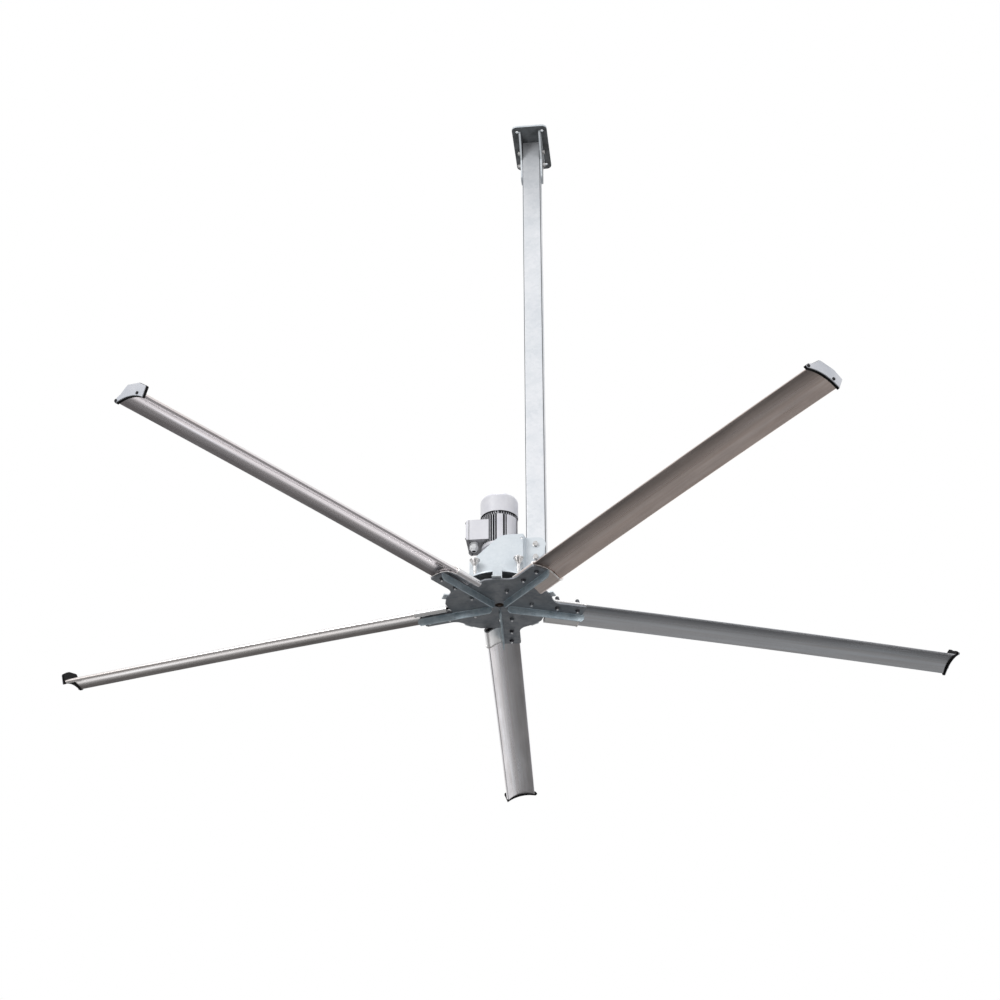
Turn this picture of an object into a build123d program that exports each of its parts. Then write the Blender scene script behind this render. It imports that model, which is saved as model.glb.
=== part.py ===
from build123d import *
import math
import os

os.makedirs("parts", exist_ok=True)

# Large ceiling fan for a livestock barn, hung from a square down tube.
# The origin is the centre of the ceiling plate's top face, on the down tube's axis.
# Z is up, the fan axis lies beside the tube on the -X side, and the tube's front is -Y.

# Driving dimensions, in millimetres and degrees
fan_radius = 2420.0
blade_count = 5
arm_step = 360.0 / blade_count
first_arm_azimuth = 21.0
hub_drop = 2913.0
axis_offset = 189.0
tube_width = 100.0
tube_wall = 4.0
sheet = 5.0
motor_radius = 95.5
running_gap = 0.05
shaft_clearance = 1.5

fan_x = -axis_offset
hub_z = -hub_drop


def level(height, turn=0.0):
    """Horizontal plane at a height over the star plate's underside, on the fan axis."""
    direction = (math.cos(math.radians(turn)), math.sin(math.radians(turn)), 0)
    return Plane(origin=(fan_x, 0, hub_z + height), x_dir=direction, z_dir=(0, 0, 1))


def arm_location(index):
    """Place of one arm, from the master arm that lies along +X at the origin."""
    return Location((fan_x, 0, hub_z), (0, 0, first_arm_azimuth + index * arm_step))


def bar(plane, radius, start, end):
    """Adds a round bar along the plane's normal, between two distances from it."""
    with BuildSketch(plane.offset(start)) as disc:
        Circle(radius)
    extrude(disc.sketch, amount=end - start)


def hexagon(plane, flats, start, end):
    """Adds a hexagonal block along the plane's normal, between two distances from it."""
    with BuildSketch(plane.offset(start)) as outline:
        RegularPolygon(flats / 2, 6, major_radius=False)
    extrude(outline.sketch, amount=end - start)


def bolt_and_nut(plane, thread, grip, washer_radius, washer=3.0):
    """Adds a bolt whose head stands below the plane, with a washer and nut past the grip."""
    flats = 3.0 * thread
    head = 1.3 * thread
    nut = 1.6 * thread
    hexagon(plane, flats, -washer - head, -washer)
    bar(plane, washer_radius, -washer, 0.0)
    bar(plane, thread, 0.0, grip + washer + nut + 4.0)
    bar(plane, washer_radius, grip, grip + washer)
    hexagon(plane, flats, grip + washer, grip + washer + nut)


def write(part, name):
    """Labels a finished piece and writes it under its node's name."""
    part.label = name
    export_step(part, f"parts/{name}.step")


# Ceiling plate, with four bolt holes
ceiling_plate_x = 196.0
ceiling_plate_y = 372.0
ceiling_plate_height = 10.0
ceiling_plate_corner = 30.0
ceiling_bolt_x = 140.0
ceiling_bolt_y = 290.0
ceiling_hole_radius = 8.75

with BuildPart() as ceiling_plate:
    with BuildSketch(Plane.XY.offset(-ceiling_plate_height)):
        RectangleRounded(ceiling_plate_x, ceiling_plate_y, ceiling_plate_corner)
        with GridLocations(ceiling_bolt_x, ceiling_bolt_y, 2, 2):
            Circle(ceiling_hole_radius, mode=Mode.SUBTRACT)
    extrude(amount=ceiling_plate_height)
write(ceiling_plate.part, "ceiling_plate")

# Gusset cheeks under the ceiling plate, one on each side of the tube
cheek = 10.0
cheek_top_half = 148.0
cheek_edge = 12.0
cheek_waist_half = 48.0
cheek_waist = -132.0
cheek_low_half = 36.0
cheek_bottom = -256.0
cheek_corner = 26.0
hanger_bolt_levels = (-42.0, -134.0)
through_hole_radius = 8.5


def make_cheek(side):
    """One gusset cheek, on the +X side of the tube for side 1 and the -X side for -1."""
    inner = Plane(origin=(side * tube_width / 2, 0, 0), x_dir=(0, side, 0), z_dir=(side, 0, 0))
    with BuildPart() as cheek_part:
        with BuildSketch(inner):
            with BuildLine():
                Polyline(
                    (-cheek_low_half, cheek_bottom),
                    (-cheek_waist_half, cheek_waist),
                    (-cheek_top_half, -ceiling_plate_height - cheek_edge),
                    (-cheek_top_half, -ceiling_plate_height),
                    (cheek_top_half, -ceiling_plate_height),
                    (cheek_top_half, -ceiling_plate_height - cheek_edge),
                    (cheek_waist_half, cheek_waist),
                    (cheek_low_half, cheek_bottom),
                    close=True,
                )
            make_face()
            low_corners = vertices().group_by(Axis.Y)[0]
            fillet(low_corners, radius=cheek_corner)
            with Locations((0, hanger_bolt_levels[0]), (0, hanger_bolt_levels[1])):
                Circle(through_hole_radius, mode=Mode.SUBTRACT)
        extrude(amount=cheek)
    return cheek_part.part


write(make_cheek(-1), "hanger_cheek_left")
write(make_cheek(1), "hanger_cheek_right")

# Square down tube, drilled for the bolts at both ends
tube_low_end = 200.0
tube_corner = 8.0
bracket_bolt_x = 187.0 - axis_offset
bracket_bolt_heights = (303.0, 230.0)
tube_top = -ceiling_plate_height
tube_bottom = hub_z + tube_low_end
front_face = Plane(origin=(0, -tube_width / 2, 0), x_dir=(1, 0, 0), z_dir=(0, -1, 0))
left_face = Plane(origin=(-tube_width / 2, 0, 0), x_dir=(0, -1, 0), z_dir=(-1, 0, 0))

with BuildPart() as down_tube:
    with BuildSketch(Plane.XY.offset(tube_bottom)):
        RectangleRounded(tube_width, tube_width, tube_corner)
        RectangleRounded(
            tube_width - 2 * tube_wall,
            tube_width - 2 * tube_wall,
            tube_corner - tube_wall,
            mode=Mode.SUBTRACT,
        )
    extrude(amount=tube_top - tube_bottom)
    with BuildSketch(left_face):
        with Locations((0, hanger_bolt_levels[0]), (0, hanger_bolt_levels[1])):
            Circle(through_hole_radius)
    extrude(amount=-tube_width, mode=Mode.SUBTRACT)
    with BuildSketch(front_face):
        with Locations(
            (bracket_bolt_x, hub_z + bracket_bolt_heights[0]),
            (bracket_bolt_x, hub_z + bracket_bolt_heights[1]),
        ):
            Circle(through_hole_radius)
    extrude(amount=-tube_width, mode=Mode.SUBTRACT)
write(down_tube.part, "down_tube")

# Four identical through bolts: two across the ceiling cheeks, two through the motor bracket
through_thread = 8.0
through_washer = 15.0

with BuildPart() as through_bolts:
    for bolt_level in hanger_bolt_levels:
        head_side = Plane(
            origin=(tube_width / 2 + cheek, 0, bolt_level), x_dir=(0, 1, 0), z_dir=(-1, 0, 0)
        )
        bolt_and_nut(head_side, through_thread, tube_width + 2 * cheek, through_washer)
    for bolt_height in bracket_bolt_heights:
        head_side = Plane(
            origin=(bracket_bolt_x, -tube_width / 2 - sheet, hub_z + bolt_height),
            x_dir=(1, 0, 0),
            z_dir=(0, 1, 0),
        )
        bolt_and_nut(head_side, through_thread, tube_width + 2 * sheet, through_washer)
write(through_bolts.part, "through_bolts")

# Base plate under the gearbox
base_plate_radius = 190.0
base_plate_bottom = 87.0
base_plate_top = 95.0
spigot_radius = 40.0
spigot_drop = 12.0
gearbox_screw_circle = 65.0
gearbox_screw_radius = 5.0
bolt_play = 0.5
mount_x = 108.0
mount_y = 134.0
mount_thread = 6.0

with BuildPart() as base_plate:
    with BuildSketch(level(base_plate_bottom)):
        Circle(base_plate_radius)
        Circle(spigot_radius + 0.2, mode=Mode.SUBTRACT)
        with PolarLocations(gearbox_screw_circle, 4, start_angle=45):
            Circle(gearbox_screw_radius + bolt_play, mode=Mode.SUBTRACT)
        with GridLocations(2 * mount_x, 2 * mount_y, 2, 2):
            Circle(mount_thread + bolt_play, mode=Mode.SUBTRACT)
    extrude(amount=base_plate_top - base_plate_bottom)
write(base_plate.part, "base_plate")

# Folded motor bracket sheets, each with a panel, a jog, a tube tab and a foot
panel_left = -138.5
panel_y = 100.0
panel_left_top = 195.0
slope_end = (1.0, 327.0)
slope_turn = (24.0, 338.0)
top_edge_start = 48.0
sheet_top = 343.0
jog_start = 128.0
jog_end = axis_offset - tube_width / 2
tab_right = 238.0
tab_corner = 40.0
tab_edge_turn = (229.0, 251.0)
tab_low_corner = (193.0, 209.0)
panel_low_right = 146.0
foot_reach = 150.0
foot_limit_radius = 186.0
pilot_hole = (122.0, 318.0)
pilot_hole_radius = 6.0
front_view = Plane(origin=(fan_x, 0, hub_z), x_dir=(1, 0, 0), z_dir=(0, -1, 0))

with BuildPart() as bracket_front_sheet:
    with BuildSketch(level(base_plate_top)):
        with BuildLine():
            Polyline(
                (panel_left, -panel_y),
                (jog_start, -panel_y),
                (jog_end, -tube_width / 2 - sheet),
                (tab_right, -tube_width / 2 - sheet),
            )
            offset(amount=sheet, side=Side.LEFT)
        make_face()
    extrude(amount=sheet_top - base_plate_top)
    with BuildSketch(front_view):
        with BuildLine():
            Polyline(
                (panel_left, base_plate_top),
                (panel_left, panel_left_top),
                slope_end,
                slope_turn,
                (top_edge_start, sheet_top),
                (tab_right - tab_corner, sheet_top),
            )
            arc_start = (tab_right - tab_corner, sheet_top)
            arc_end = (tab_right, sheet_top - tab_corner)
            RadiusArc(arc_start, arc_end, tab_corner)
            Polyline(
                arc_end,
                tab_edge_turn,
                tab_low_corner,
                (panel_low_right, base_plate_top),
            )
            Line((panel_low_right, base_plate_top), (panel_left, base_plate_top))
        make_face()
        with Locations(
            (bracket_bolt_x + axis_offset, bracket_bolt_heights[0]),
            (bracket_bolt_x + axis_offset, bracket_bolt_heights[1]),
        ):
            Circle(through_hole_radius, mode=Mode.SUBTRACT)
        with Locations(pilot_hole):
            Circle(pilot_hole_radius, mode=Mode.SUBTRACT)
    extrude(amount=foot_reach, mode=Mode.INTERSECT)
    with BuildSketch(level(base_plate_top)):
        Circle(foot_limit_radius)
        with Locations((0, -(foot_reach + panel_y - sheet) / 2)):
            Rectangle(-2 * panel_left, foot_reach - panel_y + sheet, mode=Mode.INTERSECT)
        with Locations((-mount_x, -mount_y), (mount_x, -mount_y)):
            Circle(mount_thread + bolt_play, mode=Mode.SUBTRACT)
    extrude(amount=sheet)
write(bracket_front_sheet.part, "bracket_front_sheet")

with BuildPart() as bracket_rear_sheet:
    add(bracket_front_sheet.part.mirror(Plane.XZ))
write(bracket_rear_sheet.part, "bracket_rear_sheet")

# Four flared mount bushes on the feet: a post that widens to a cone under a large washer
bush_post_radius = 8.5
bush_cone_radius = 24.0
bush_cone_start = 152.0
bush_rim = 3.0
bush_top = 184.0
mount_washer_radius = 26.0
mount_washer = 4.0
mount_nut = 10.0
mount_flats = 18.0
mount_low_washer = 2.5
mount_low_washer_radius = 11.0
foot_top = base_plate_top + sheet

with BuildPart() as mount_bushes:
    for x_sign in (-1, 1):
        for y_sign in (-1, 1):
            bush_centre = (fan_x + x_sign * mount_x, y_sign * mount_y, hub_z)
            bush_side = Plane(origin=bush_centre, x_dir=(1, 0, 0), z_dir=(0, -1, 0))
            with BuildSketch(bush_side) as bush_profile:
                with BuildLine():
                    Polyline(
                        (mount_thread, foot_top),
                        (bush_post_radius, foot_top),
                        (bush_post_radius, bush_cone_start),
                        (bush_cone_radius, bush_top - bush_rim),
                        (bush_cone_radius, bush_top),
                        (mount_thread, bush_top),
                        close=True,
                    )
                make_face()
            revolve(bush_profile.sketch, axis=Axis(bush_centre, (0, 0, 1)))
write(mount_bushes.part, "mount_bushes")

with BuildPart() as mount_bolts:
    for x_sign in (-1, 1):
        for y_sign in (-1, 1):
            stud = Plane(
                origin=(fan_x + x_sign * mount_x, y_sign * mount_y, hub_z), x_dir=(1, 0, 0)
            )
            washer_top = bush_top + mount_washer
            low_nut_top = base_plate_bottom - mount_low_washer
            bar(stud, mount_thread, low_nut_top - mount_nut - 3.0, washer_top + mount_nut + 4.0)
            bar(stud, mount_washer_radius, bush_top, washer_top)
            hexagon(stud, mount_flats, washer_top, washer_top + mount_nut)
            bar(stud, mount_low_washer_radius, low_nut_top, base_plate_bottom)
            hexagon(stud, mount_flats, low_nut_top - mount_nut, low_nut_top)
write(mount_bolts.part, "mount_bolts")

# Gearbox housing: a rounded hull round the output axis and the layshaft axis
shaft_distance = 50.0
gearbox_radius = 62.0
layshaft_bulge = 56.0
housing_wall = 12.0
gearbox_floor = 142.0
gearbox_top = 242.0
output_shaft_radius = 20.0
output_bearing_radius = 31.0
output_bearing_width = 12.0
lower_output_bearing = 112.0
layshaft_journal = 8.5
layshaft_bearing_radius = 17.5
layshaft_bearing_width = 10.0
lower_layshaft_bearing = 130.0
seal_radius = 27.0
seal_bottom = 85.0
seal_top = 93.0
gearbox_flange_radius = 76.0
gearbox_flange = 12.0
bridge_bottom = 184.0
bridge_top = 200.0


def hull_outline(shrink):
    """Sketches the gearbox's plan outline, drawn in by a wall where asked."""
    with BuildSketch(mode=Mode.PRIVATE) as outline:
        Circle(gearbox_radius - shrink)
        with Locations((-shaft_distance, 0)):
            Circle(layshaft_bulge - shrink)
        make_hull()
    return outline.sketch


with BuildPart() as gearbox_housing:
    with BuildSketch(level(base_plate_top)):
        add(hull_outline(0.0))
    extrude(amount=gearbox_top - base_plate_top)
    with BuildSketch(level(base_plate_top)):
        Circle(gearbox_flange_radius)
    extrude(amount=gearbox_flange)
    bar(level(0.0), spigot_radius, base_plate_top - spigot_drop, base_plate_top)
    with BuildSketch(level(gearbox_floor)):
        add(hull_outline(housing_wall))
    extrude(amount=gearbox_top - gearbox_floor, mode=Mode.SUBTRACT)
    with BuildSketch(level(lower_output_bearing)):
        Circle(output_bearing_radius)
    extrude(amount=gearbox_floor - lower_output_bearing, mode=Mode.SUBTRACT)
    with BuildSketch(level(base_plate_top - spigot_drop)):
        Circle(output_shaft_radius + shaft_clearance)
    extrude(amount=gearbox_floor - base_plate_top + spigot_drop, mode=Mode.SUBTRACT)
    with BuildSketch(level(base_plate_top - spigot_drop)):
        Circle(seal_radius)
    extrude(amount=seal_top - base_plate_top + spigot_drop, mode=Mode.SUBTRACT)
    with BuildSketch(level(lower_layshaft_bearing)):
        with Locations((-shaft_distance, 0)):
            Circle(layshaft_bearing_radius)
    extrude(amount=gearbox_floor - lower_layshaft_bearing, mode=Mode.SUBTRACT)
    with BuildSketch(level(base_plate_top)):
        with PolarLocations(gearbox_screw_circle, 4, start_angle=45):
            Circle(gearbox_screw_radius)
    extrude(amount=18.0, mode=Mode.SUBTRACT)
write(gearbox_housing.part, "gearbox_housing")

# Bridge plate inside the gearbox, which holds the output shaft's upper bearing
upper_output_bearing = 186.0

with BuildPart() as bearing_bridge:
    with BuildSketch(level(bridge_bottom)):
        add(hull_outline(housing_wall))
        Circle(output_bearing_radius, mode=Mode.SUBTRACT)
        with Locations((-shaft_distance, 0)):
            Circle(15.0, mode=Mode.SUBTRACT)
    extrude(amount=bridge_top - bridge_bottom)
    with BuildSketch(level(bridge_bottom)):
        Circle(output_bearing_radius)
        Circle(25.0, mode=Mode.SUBTRACT)
    extrude(amount=upper_output_bearing - bridge_bottom)
write(bearing_bridge.part, "bearing_bridge")

# Four screws from the base plate up into the gearbox
with BuildPart() as gearbox_screws:
    for corner in range(4):
        angle = math.radians(45 + 90 * corner)
        screw_plane = Plane(
            origin=(
                fan_x + gearbox_screw_circle * math.cos(angle),
                gearbox_screw_circle * math.sin(angle),
                hub_z + base_plate_bottom,
            ),
            x_dir=(1, 0, 0),
        )
        hexagon(screw_plane, 16.0, -7.0, 0.0)
        bar(screw_plane, gearbox_screw_radius, 0.0, 24.0)
write(gearbox_screws.part, "gearbox_screws")


def bearing(plane, inner, outer, start, width):
    """Adds one closed ball bearing as a ring with a shallow groove in each face."""
    middle = (inner + outer) / 2
    half_groove = (outer - inner) / 8
    with BuildSketch(plane.offset(start)) as ring:
        Circle(outer)
        Circle(inner, mode=Mode.SUBTRACT)
    extrude(ring.sketch, amount=width)
    for groove_start in (start, start + width - 0.8):
        with BuildSketch(plane.offset(groove_start)) as groove:
            Circle(middle + half_groove)
            Circle(middle - half_groove, mode=Mode.SUBTRACT)
        extrude(groove.sketch, amount=0.8, mode=Mode.SUBTRACT)


# Gearbox bearings: two on the output shaft, two on the layshaft
upper_layshaft_bearing = 244.0
layshaft_axis = Plane(origin=(fan_x - shaft_distance, 0, hub_z), x_dir=(1, 0, 0))

with BuildPart() as gearbox_bearings:
    for start in (lower_output_bearing, upper_output_bearing):
        bearing(
            level(0.0),
            output_shaft_radius + running_gap,
            output_bearing_radius,
            start,
            output_bearing_width,
        )
    for start in (lower_layshaft_bearing, upper_layshaft_bearing):
        bearing(
            layshaft_axis,
            layshaft_journal + running_gap,
            layshaft_bearing_radius,
            start,
            layshaft_bearing_width,
        )
write(gearbox_bearings.part, "gearbox_bearings")

# Output shaft seal in the gearbox spigot
with BuildPart() as output_seal:
    with BuildSketch(level(seal_bottom)):
        Circle(seal_radius)
        Circle(output_shaft_radius + running_gap, mode=Mode.SUBTRACT)
    extrude(amount=seal_top - seal_bottom)
write(output_seal.part, "output_seal")

# Motor adapter: closes the gearbox and is the motor's lower end shield
adapter_top = 320.0
adapter_disc = 302.0
adapter_radius = 90.0
adapter_foot = 14.0
frame_bore = 70.0
frame_spigot = 5.0
motor_shaft_radius = 12.5
motor_bearing_radius = 26.0
motor_bearing_width = 15.0
lower_motor_bearing = 303.0

with BuildPart() as motor_adapter:
    with BuildSketch(level(gearbox_top)):
        add(hull_outline(0.0))
    extrude(amount=adapter_foot)
    bar(level(0.0), gearbox_radius, gearbox_top + adapter_foot, adapter_disc)
    bar(level(0.0), adapter_radius, adapter_disc, adapter_top)
    bar(level(0.0), frame_bore - 0.5, adapter_top, adapter_top + frame_spigot)
    with BuildSketch(level(gearbox_top)):
        Circle(16.0)
    extrude(amount=100.0, mode=Mode.SUBTRACT)
    with BuildSketch(level(gearbox_top + adapter_foot)):
        Circle(gearbox_radius - housing_wall)
    extrude(amount=adapter_disc - gearbox_top - adapter_foot - 6.0, mode=Mode.SUBTRACT)
    with BuildSketch(level(lower_motor_bearing)):
        Circle(motor_bearing_radius)
    extrude(amount=40.0, mode=Mode.SUBTRACT)
    with BuildSketch(level(gearbox_top)):
        with Locations((-shaft_distance, 0)):
            Circle(layshaft_bearing_radius)
    extrude(amount=12.0, mode=Mode.SUBTRACT)
write(motor_adapter.part, "motor_adapter")

# Finned motor frame, with two plain pads towards the front
frame_top = 472.0
frame_root = 76.0
fin_tip = 92.5
fin_width = 2.6
fin_bite = 3.0
fin_count = 44
pads = ((-92.0, -73.0), (-60.0, -20.0))


def wedge(inner, outer, start_angle, end_angle):
    """Sketches a ring sector between two radii and two angles."""
    first = math.radians(start_angle)
    last = math.radians(end_angle)
    middle = (first + last) / 2
    with BuildLine() as sector:
        ThreePointArc(
            (outer * math.cos(first), outer * math.sin(first)),
            (outer * math.cos(middle), outer * math.sin(middle)),
            (outer * math.cos(last), outer * math.sin(last)),
        )
        Line(
            (outer * math.cos(last), outer * math.sin(last)),
            (inner * math.cos(last), inner * math.sin(last)),
        )
        ThreePointArc(
            (inner * math.cos(last), inner * math.sin(last)),
            (inner * math.cos(middle), inner * math.sin(middle)),
            (inner * math.cos(first), inner * math.sin(first)),
        )
        Line(
            (inner * math.cos(first), inner * math.sin(first)),
            (outer * math.cos(first), outer * math.sin(first)),
        )
    make_face(sector.line)


with BuildPart() as motor_frame:
    with BuildSketch(level(adapter_top)):
        Circle(frame_root)
        with PolarLocations((frame_root - fin_bite + fin_tip) / 2, fin_count):
            Rectangle(fin_tip - frame_root + fin_bite, fin_width)
        Circle(fin_tip, mode=Mode.INTERSECT)
        for pad_start, pad_end in pads:
            wedge(frame_root - fin_bite, fin_tip, pad_start, pad_end)
        Circle(frame_bore, mode=Mode.SUBTRACT)
    extrude(amount=frame_top - adapter_top)
write(motor_frame.part, "motor_frame")

# Upper end shield
shield_top = 495.0
shield_radius = 84.0
shield_wall = 6.0
upper_motor_bearing = 476.0

with BuildPart() as motor_end_shield:
    bar(level(0.0), shield_radius, frame_top, shield_top)
    bar(level(0.0), frame_bore, frame_top - frame_spigot, frame_top)
    with BuildSketch(level(frame_top - frame_spigot)):
        Circle(motor_shaft_radius + shaft_clearance)
    extrude(amount=shield_top - frame_top + frame_spigot, mode=Mode.SUBTRACT)
    with BuildSketch(level(frame_top - frame_spigot)):
        Circle(motor_bearing_radius)
    pocket_end = upper_motor_bearing + motor_bearing_width
    extrude(amount=pocket_end - frame_top + frame_spigot, mode=Mode.SUBTRACT)
    with BuildSketch(level(frame_top - frame_spigot)):
        Circle(frame_bore - shield_wall)
        Circle(motor_bearing_radius + shield_wall, mode=Mode.SUBTRACT)
    extrude(amount=frame_spigot + 14.0, mode=Mode.SUBTRACT)
write(motor_end_shield.part, "motor_end_shield")

# Stator core and the winding ends on both of its faces
core_bottom = 352.0
core_top = 448.0
air_gap = 0.5
rotor_radius = 42.0
winding_height = 20.0
winding_inner = 47.0
winding_outer = 62.0

with BuildPart() as stator_core:
    with BuildSketch(level(core_bottom)):
        Circle(frame_bore)
        Circle(rotor_radius + air_gap, mode=Mode.SUBTRACT)
    extrude(amount=core_top - core_bottom)
write(stator_core.part, "stator_core")

with BuildPart() as stator_windings:
    for start in (core_bottom - winding_height, core_top):
        with BuildSketch(level(start)):
            Circle(winding_outer)
            Circle(winding_inner, mode=Mode.SUBTRACT)
        extrude(amount=winding_height)
    winding_edges = edges().filter_by(GeomType.CIRCLE)
    fillet(winding_edges, radius=6.0)
write(stator_windings.part, "stator_windings")

with BuildPart() as motor_bearings:
    for start in (lower_motor_bearing, upper_motor_bearing):
        bearing(
            level(0.0),
            motor_shaft_radius + running_gap,
            motor_bearing_radius,
            start,
            motor_bearing_width,
        )
write(motor_bearings.part, "motor_bearings")

# Motor shaft with its pinion, the rotor core and the cooling fan
pinion_bottom = 208.0
gear_face = 20.0
tooth_gap = 0.15
motor_teeth = 15
layshaft_gear_teeth = 65
layshaft_pinion_teeth = 14
output_gear_teeth = 66
motor_pinion_radius = shaft_distance * motor_teeth / (motor_teeth + layshaft_gear_teeth)
layshaft_gear_radius = shaft_distance - motor_pinion_radius
layshaft_pinion_radius = (
    shaft_distance * layshaft_pinion_teeth / (layshaft_pinion_teeth + output_gear_teeth)
)
output_gear_radius = shaft_distance - layshaft_pinion_radius
shaft_step = 8.0
fan_seat = 510.0
fan_hub_height = 30.0
fan_seat_radius = 10.0
motor_shaft_top = fan_seat + fan_hub_height + 6.0
end_ring = 10.0

with BuildPart() as motor_shaft:
    bar(level(0.0), motor_pinion_radius - tooth_gap, pinion_bottom, pinion_bottom + gear_face)
    bar(level(0.0), shaft_step, pinion_bottom + gear_face, lower_motor_bearing)
    bar(level(0.0), motor_shaft_radius, lower_motor_bearing - 4.0, fan_seat)
    bar(level(0.0), fan_seat_radius, fan_seat, motor_shaft_top)
write(motor_shaft.part, "motor_shaft")

with BuildPart() as rotor_core:
    with BuildSketch(level(core_bottom)):
        Circle(rotor_radius)
        Circle(motor_shaft_radius, mode=Mode.SUBTRACT)
    extrude(amount=core_top - core_bottom)
    with BuildSketch(level(core_bottom - end_ring)):
        Circle(rotor_radius - 4.0)
        Circle(rotor_radius - 14.0, mode=Mode.SUBTRACT)
    extrude(amount=core_top - core_bottom + 2 * end_ring)
write(rotor_core.part, "rotor_core")

cooling_blades = 7
fan_disc = 3.0
fan_disc_radius = 82.0
fan_hub_radius = 17.0
fan_blade_height = 26.0
fan_blade = 2.5

with BuildPart() as cooling_fan:
    fan_start = fan_seat + 4.0
    with BuildSketch(level(fan_start)):
        Circle(fan_disc_radius)
        Circle(fan_seat_radius, mode=Mode.SUBTRACT)
    extrude(amount=fan_disc)
    with BuildSketch(level(fan_start)):
        Circle(fan_hub_radius)
        Circle(fan_seat_radius, mode=Mode.SUBTRACT)
    extrude(amount=fan_hub_height)
    with BuildSketch(level(fan_start + fan_disc - 1.0)):
        with PolarLocations((fan_hub_radius + fan_disc_radius) / 2, cooling_blades):
            Rectangle(fan_disc_radius - fan_hub_radius + 1.0, fan_blade)
    extrude(amount=fan_blade_height)
write(cooling_fan.part, "cooling_fan")

# Layshaft, one piece with its gear and pinion
layshaft_bottom = lower_layshaft_bearing + 0.5
layshaft_top = 254.0

with BuildPart() as layshaft:
    bar(layshaft_axis, layshaft_journal, layshaft_bottom, layshaft_top)
    bar(layshaft_axis, layshaft_pinion_radius - tooth_gap, 143.0, 182.0)
    bar(layshaft_axis, 11.0, 190.0, 240.0)
    bar(
        layshaft_axis,
        layshaft_gear_radius - tooth_gap,
        pinion_bottom,
        pinion_bottom + gear_face,
    )
write(layshaft.part, "layshaft")

# Output shaft and its gear
shaft_low_end = 12.0
output_gear_bottom = 146.0
output_gear_face = 32.0

with BuildPart() as output_shaft:
    bar(level(0.0), output_shaft_radius, shaft_low_end, bridge_top)
    with BuildSketch(level(shaft_low_end)):
        Circle(6.0)
    extrude(amount=34.0, mode=Mode.SUBTRACT)
write(output_shaft.part, "output_shaft")

with BuildPart() as output_gear:
    with BuildSketch(level(output_gear_bottom)):
        Circle(output_gear_radius - tooth_gap)
        Circle(output_shaft_radius, mode=Mode.SUBTRACT)
    extrude(amount=output_gear_face)
write(output_gear.part, "output_gear")

# Fan cowl, spun sheet with a round shoulder, a knob on top, four tabs and an air grille
cowl_bottom = 490.0
cowl_top = 602.0
cowl_shoulder = 27.0
cowl_wall = 2.0
knob_radius = 9.0
knob_foot = 594.0
knob_top = 627.0
cowl_tab_turn = -93.0
tab_drop = 13.0
tab_sheet = 6.0
tab_width = 16.0
grille_rings = 3
grille_first_ring = 22.0
grille_ring_step = 17.0
grille_turn = 5.0
grille_slot_length = 12.0
grille_slot_width = 5.0
screw_thread = 2.5
screw_head_radius = 5.0
screw_head = 3.0

with BuildPart() as fan_cowl:
    bar(level(0.0), motor_radius, cowl_bottom, cowl_top)
    fillet(fan_cowl.edges().group_by(Axis.Z)[-1], cowl_shoulder)
    offset(amount=-cowl_wall, openings=fan_cowl.faces().sort_by(Axis.Z)[0])
    for ring in range(grille_rings):
        with BuildSketch(level(cowl_top - 2 * cowl_wall, grille_turn)):
            with PolarLocations(grille_first_ring + grille_ring_step * ring, 10 + 8 * ring):
                SlotOverall(grille_slot_length, grille_slot_width, rotation=90)
        extrude(amount=3 * cowl_wall, mode=Mode.SUBTRACT)
    bar(level(0.0), knob_radius, knob_foot, knob_top)
    with BuildSketch(level(cowl_bottom - tab_drop, cowl_tab_turn)):
        with PolarLocations(shield_radius + tab_sheet / 2, 4):
            Rectangle(tab_sheet, tab_width)
    extrude(amount=tab_drop + tab_sheet)
    with BuildSketch(level(cowl_bottom, cowl_tab_turn)):
        with PolarLocations((shield_radius + motor_radius) / 2, 4):
            Rectangle(motor_radius - shield_radius - cowl_wall, tab_width)
    extrude(amount=cowl_wall)
write(fan_cowl.part, "fan_cowl")

# Terminal box on the motor's left side, with its lid and cable gland
box_azimuth = 180.0
box_side_low = -76.0
box_side_high = 90.0
box_bottom = 330.0
box_top = 443.0
box_root = 45.0
box_mouth = 145.0
lid_face = 160.0
box_wall = 3.5
gland_out = 123.0
gland_side = 48.0
gland_thread = 15.0
box_middle = (box_side_low + box_side_high) / 2
box_half_width = (box_side_high - box_side_low) / 2
box_inside = fin_tip + box_wall


def box_plane(height):
    """Horizontal plane whose x direction points out of the motor through the box."""
    return level(height, box_azimuth)


with BuildPart() as terminal_box:
    with BuildSketch(box_plane(box_bottom)):
        with Locations(((box_root + box_mouth) / 2, box_middle)):
            Rectangle(box_mouth - box_root, 2 * box_half_width)
    extrude(amount=box_top - box_bottom)
    with BuildSketch(box_plane(box_bottom)):
        Circle(fin_tip)
    extrude(amount=box_top - box_bottom, mode=Mode.SUBTRACT)
    with BuildSketch(box_plane(box_bottom + box_wall)):
        with Locations(((box_inside + box_mouth) / 2, box_middle)):
            Rectangle(box_mouth - box_inside, 2 * (box_half_width - box_wall))
    extrude(amount=box_top - box_bottom - 2 * box_wall, mode=Mode.SUBTRACT)
    with BuildSketch(box_plane(box_bottom)):
        with Locations((gland_out, gland_side)):
            Circle(gland_thread)
    extrude(amount=box_wall, mode=Mode.SUBTRACT)
write(terminal_box.part, "terminal_box")

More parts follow.
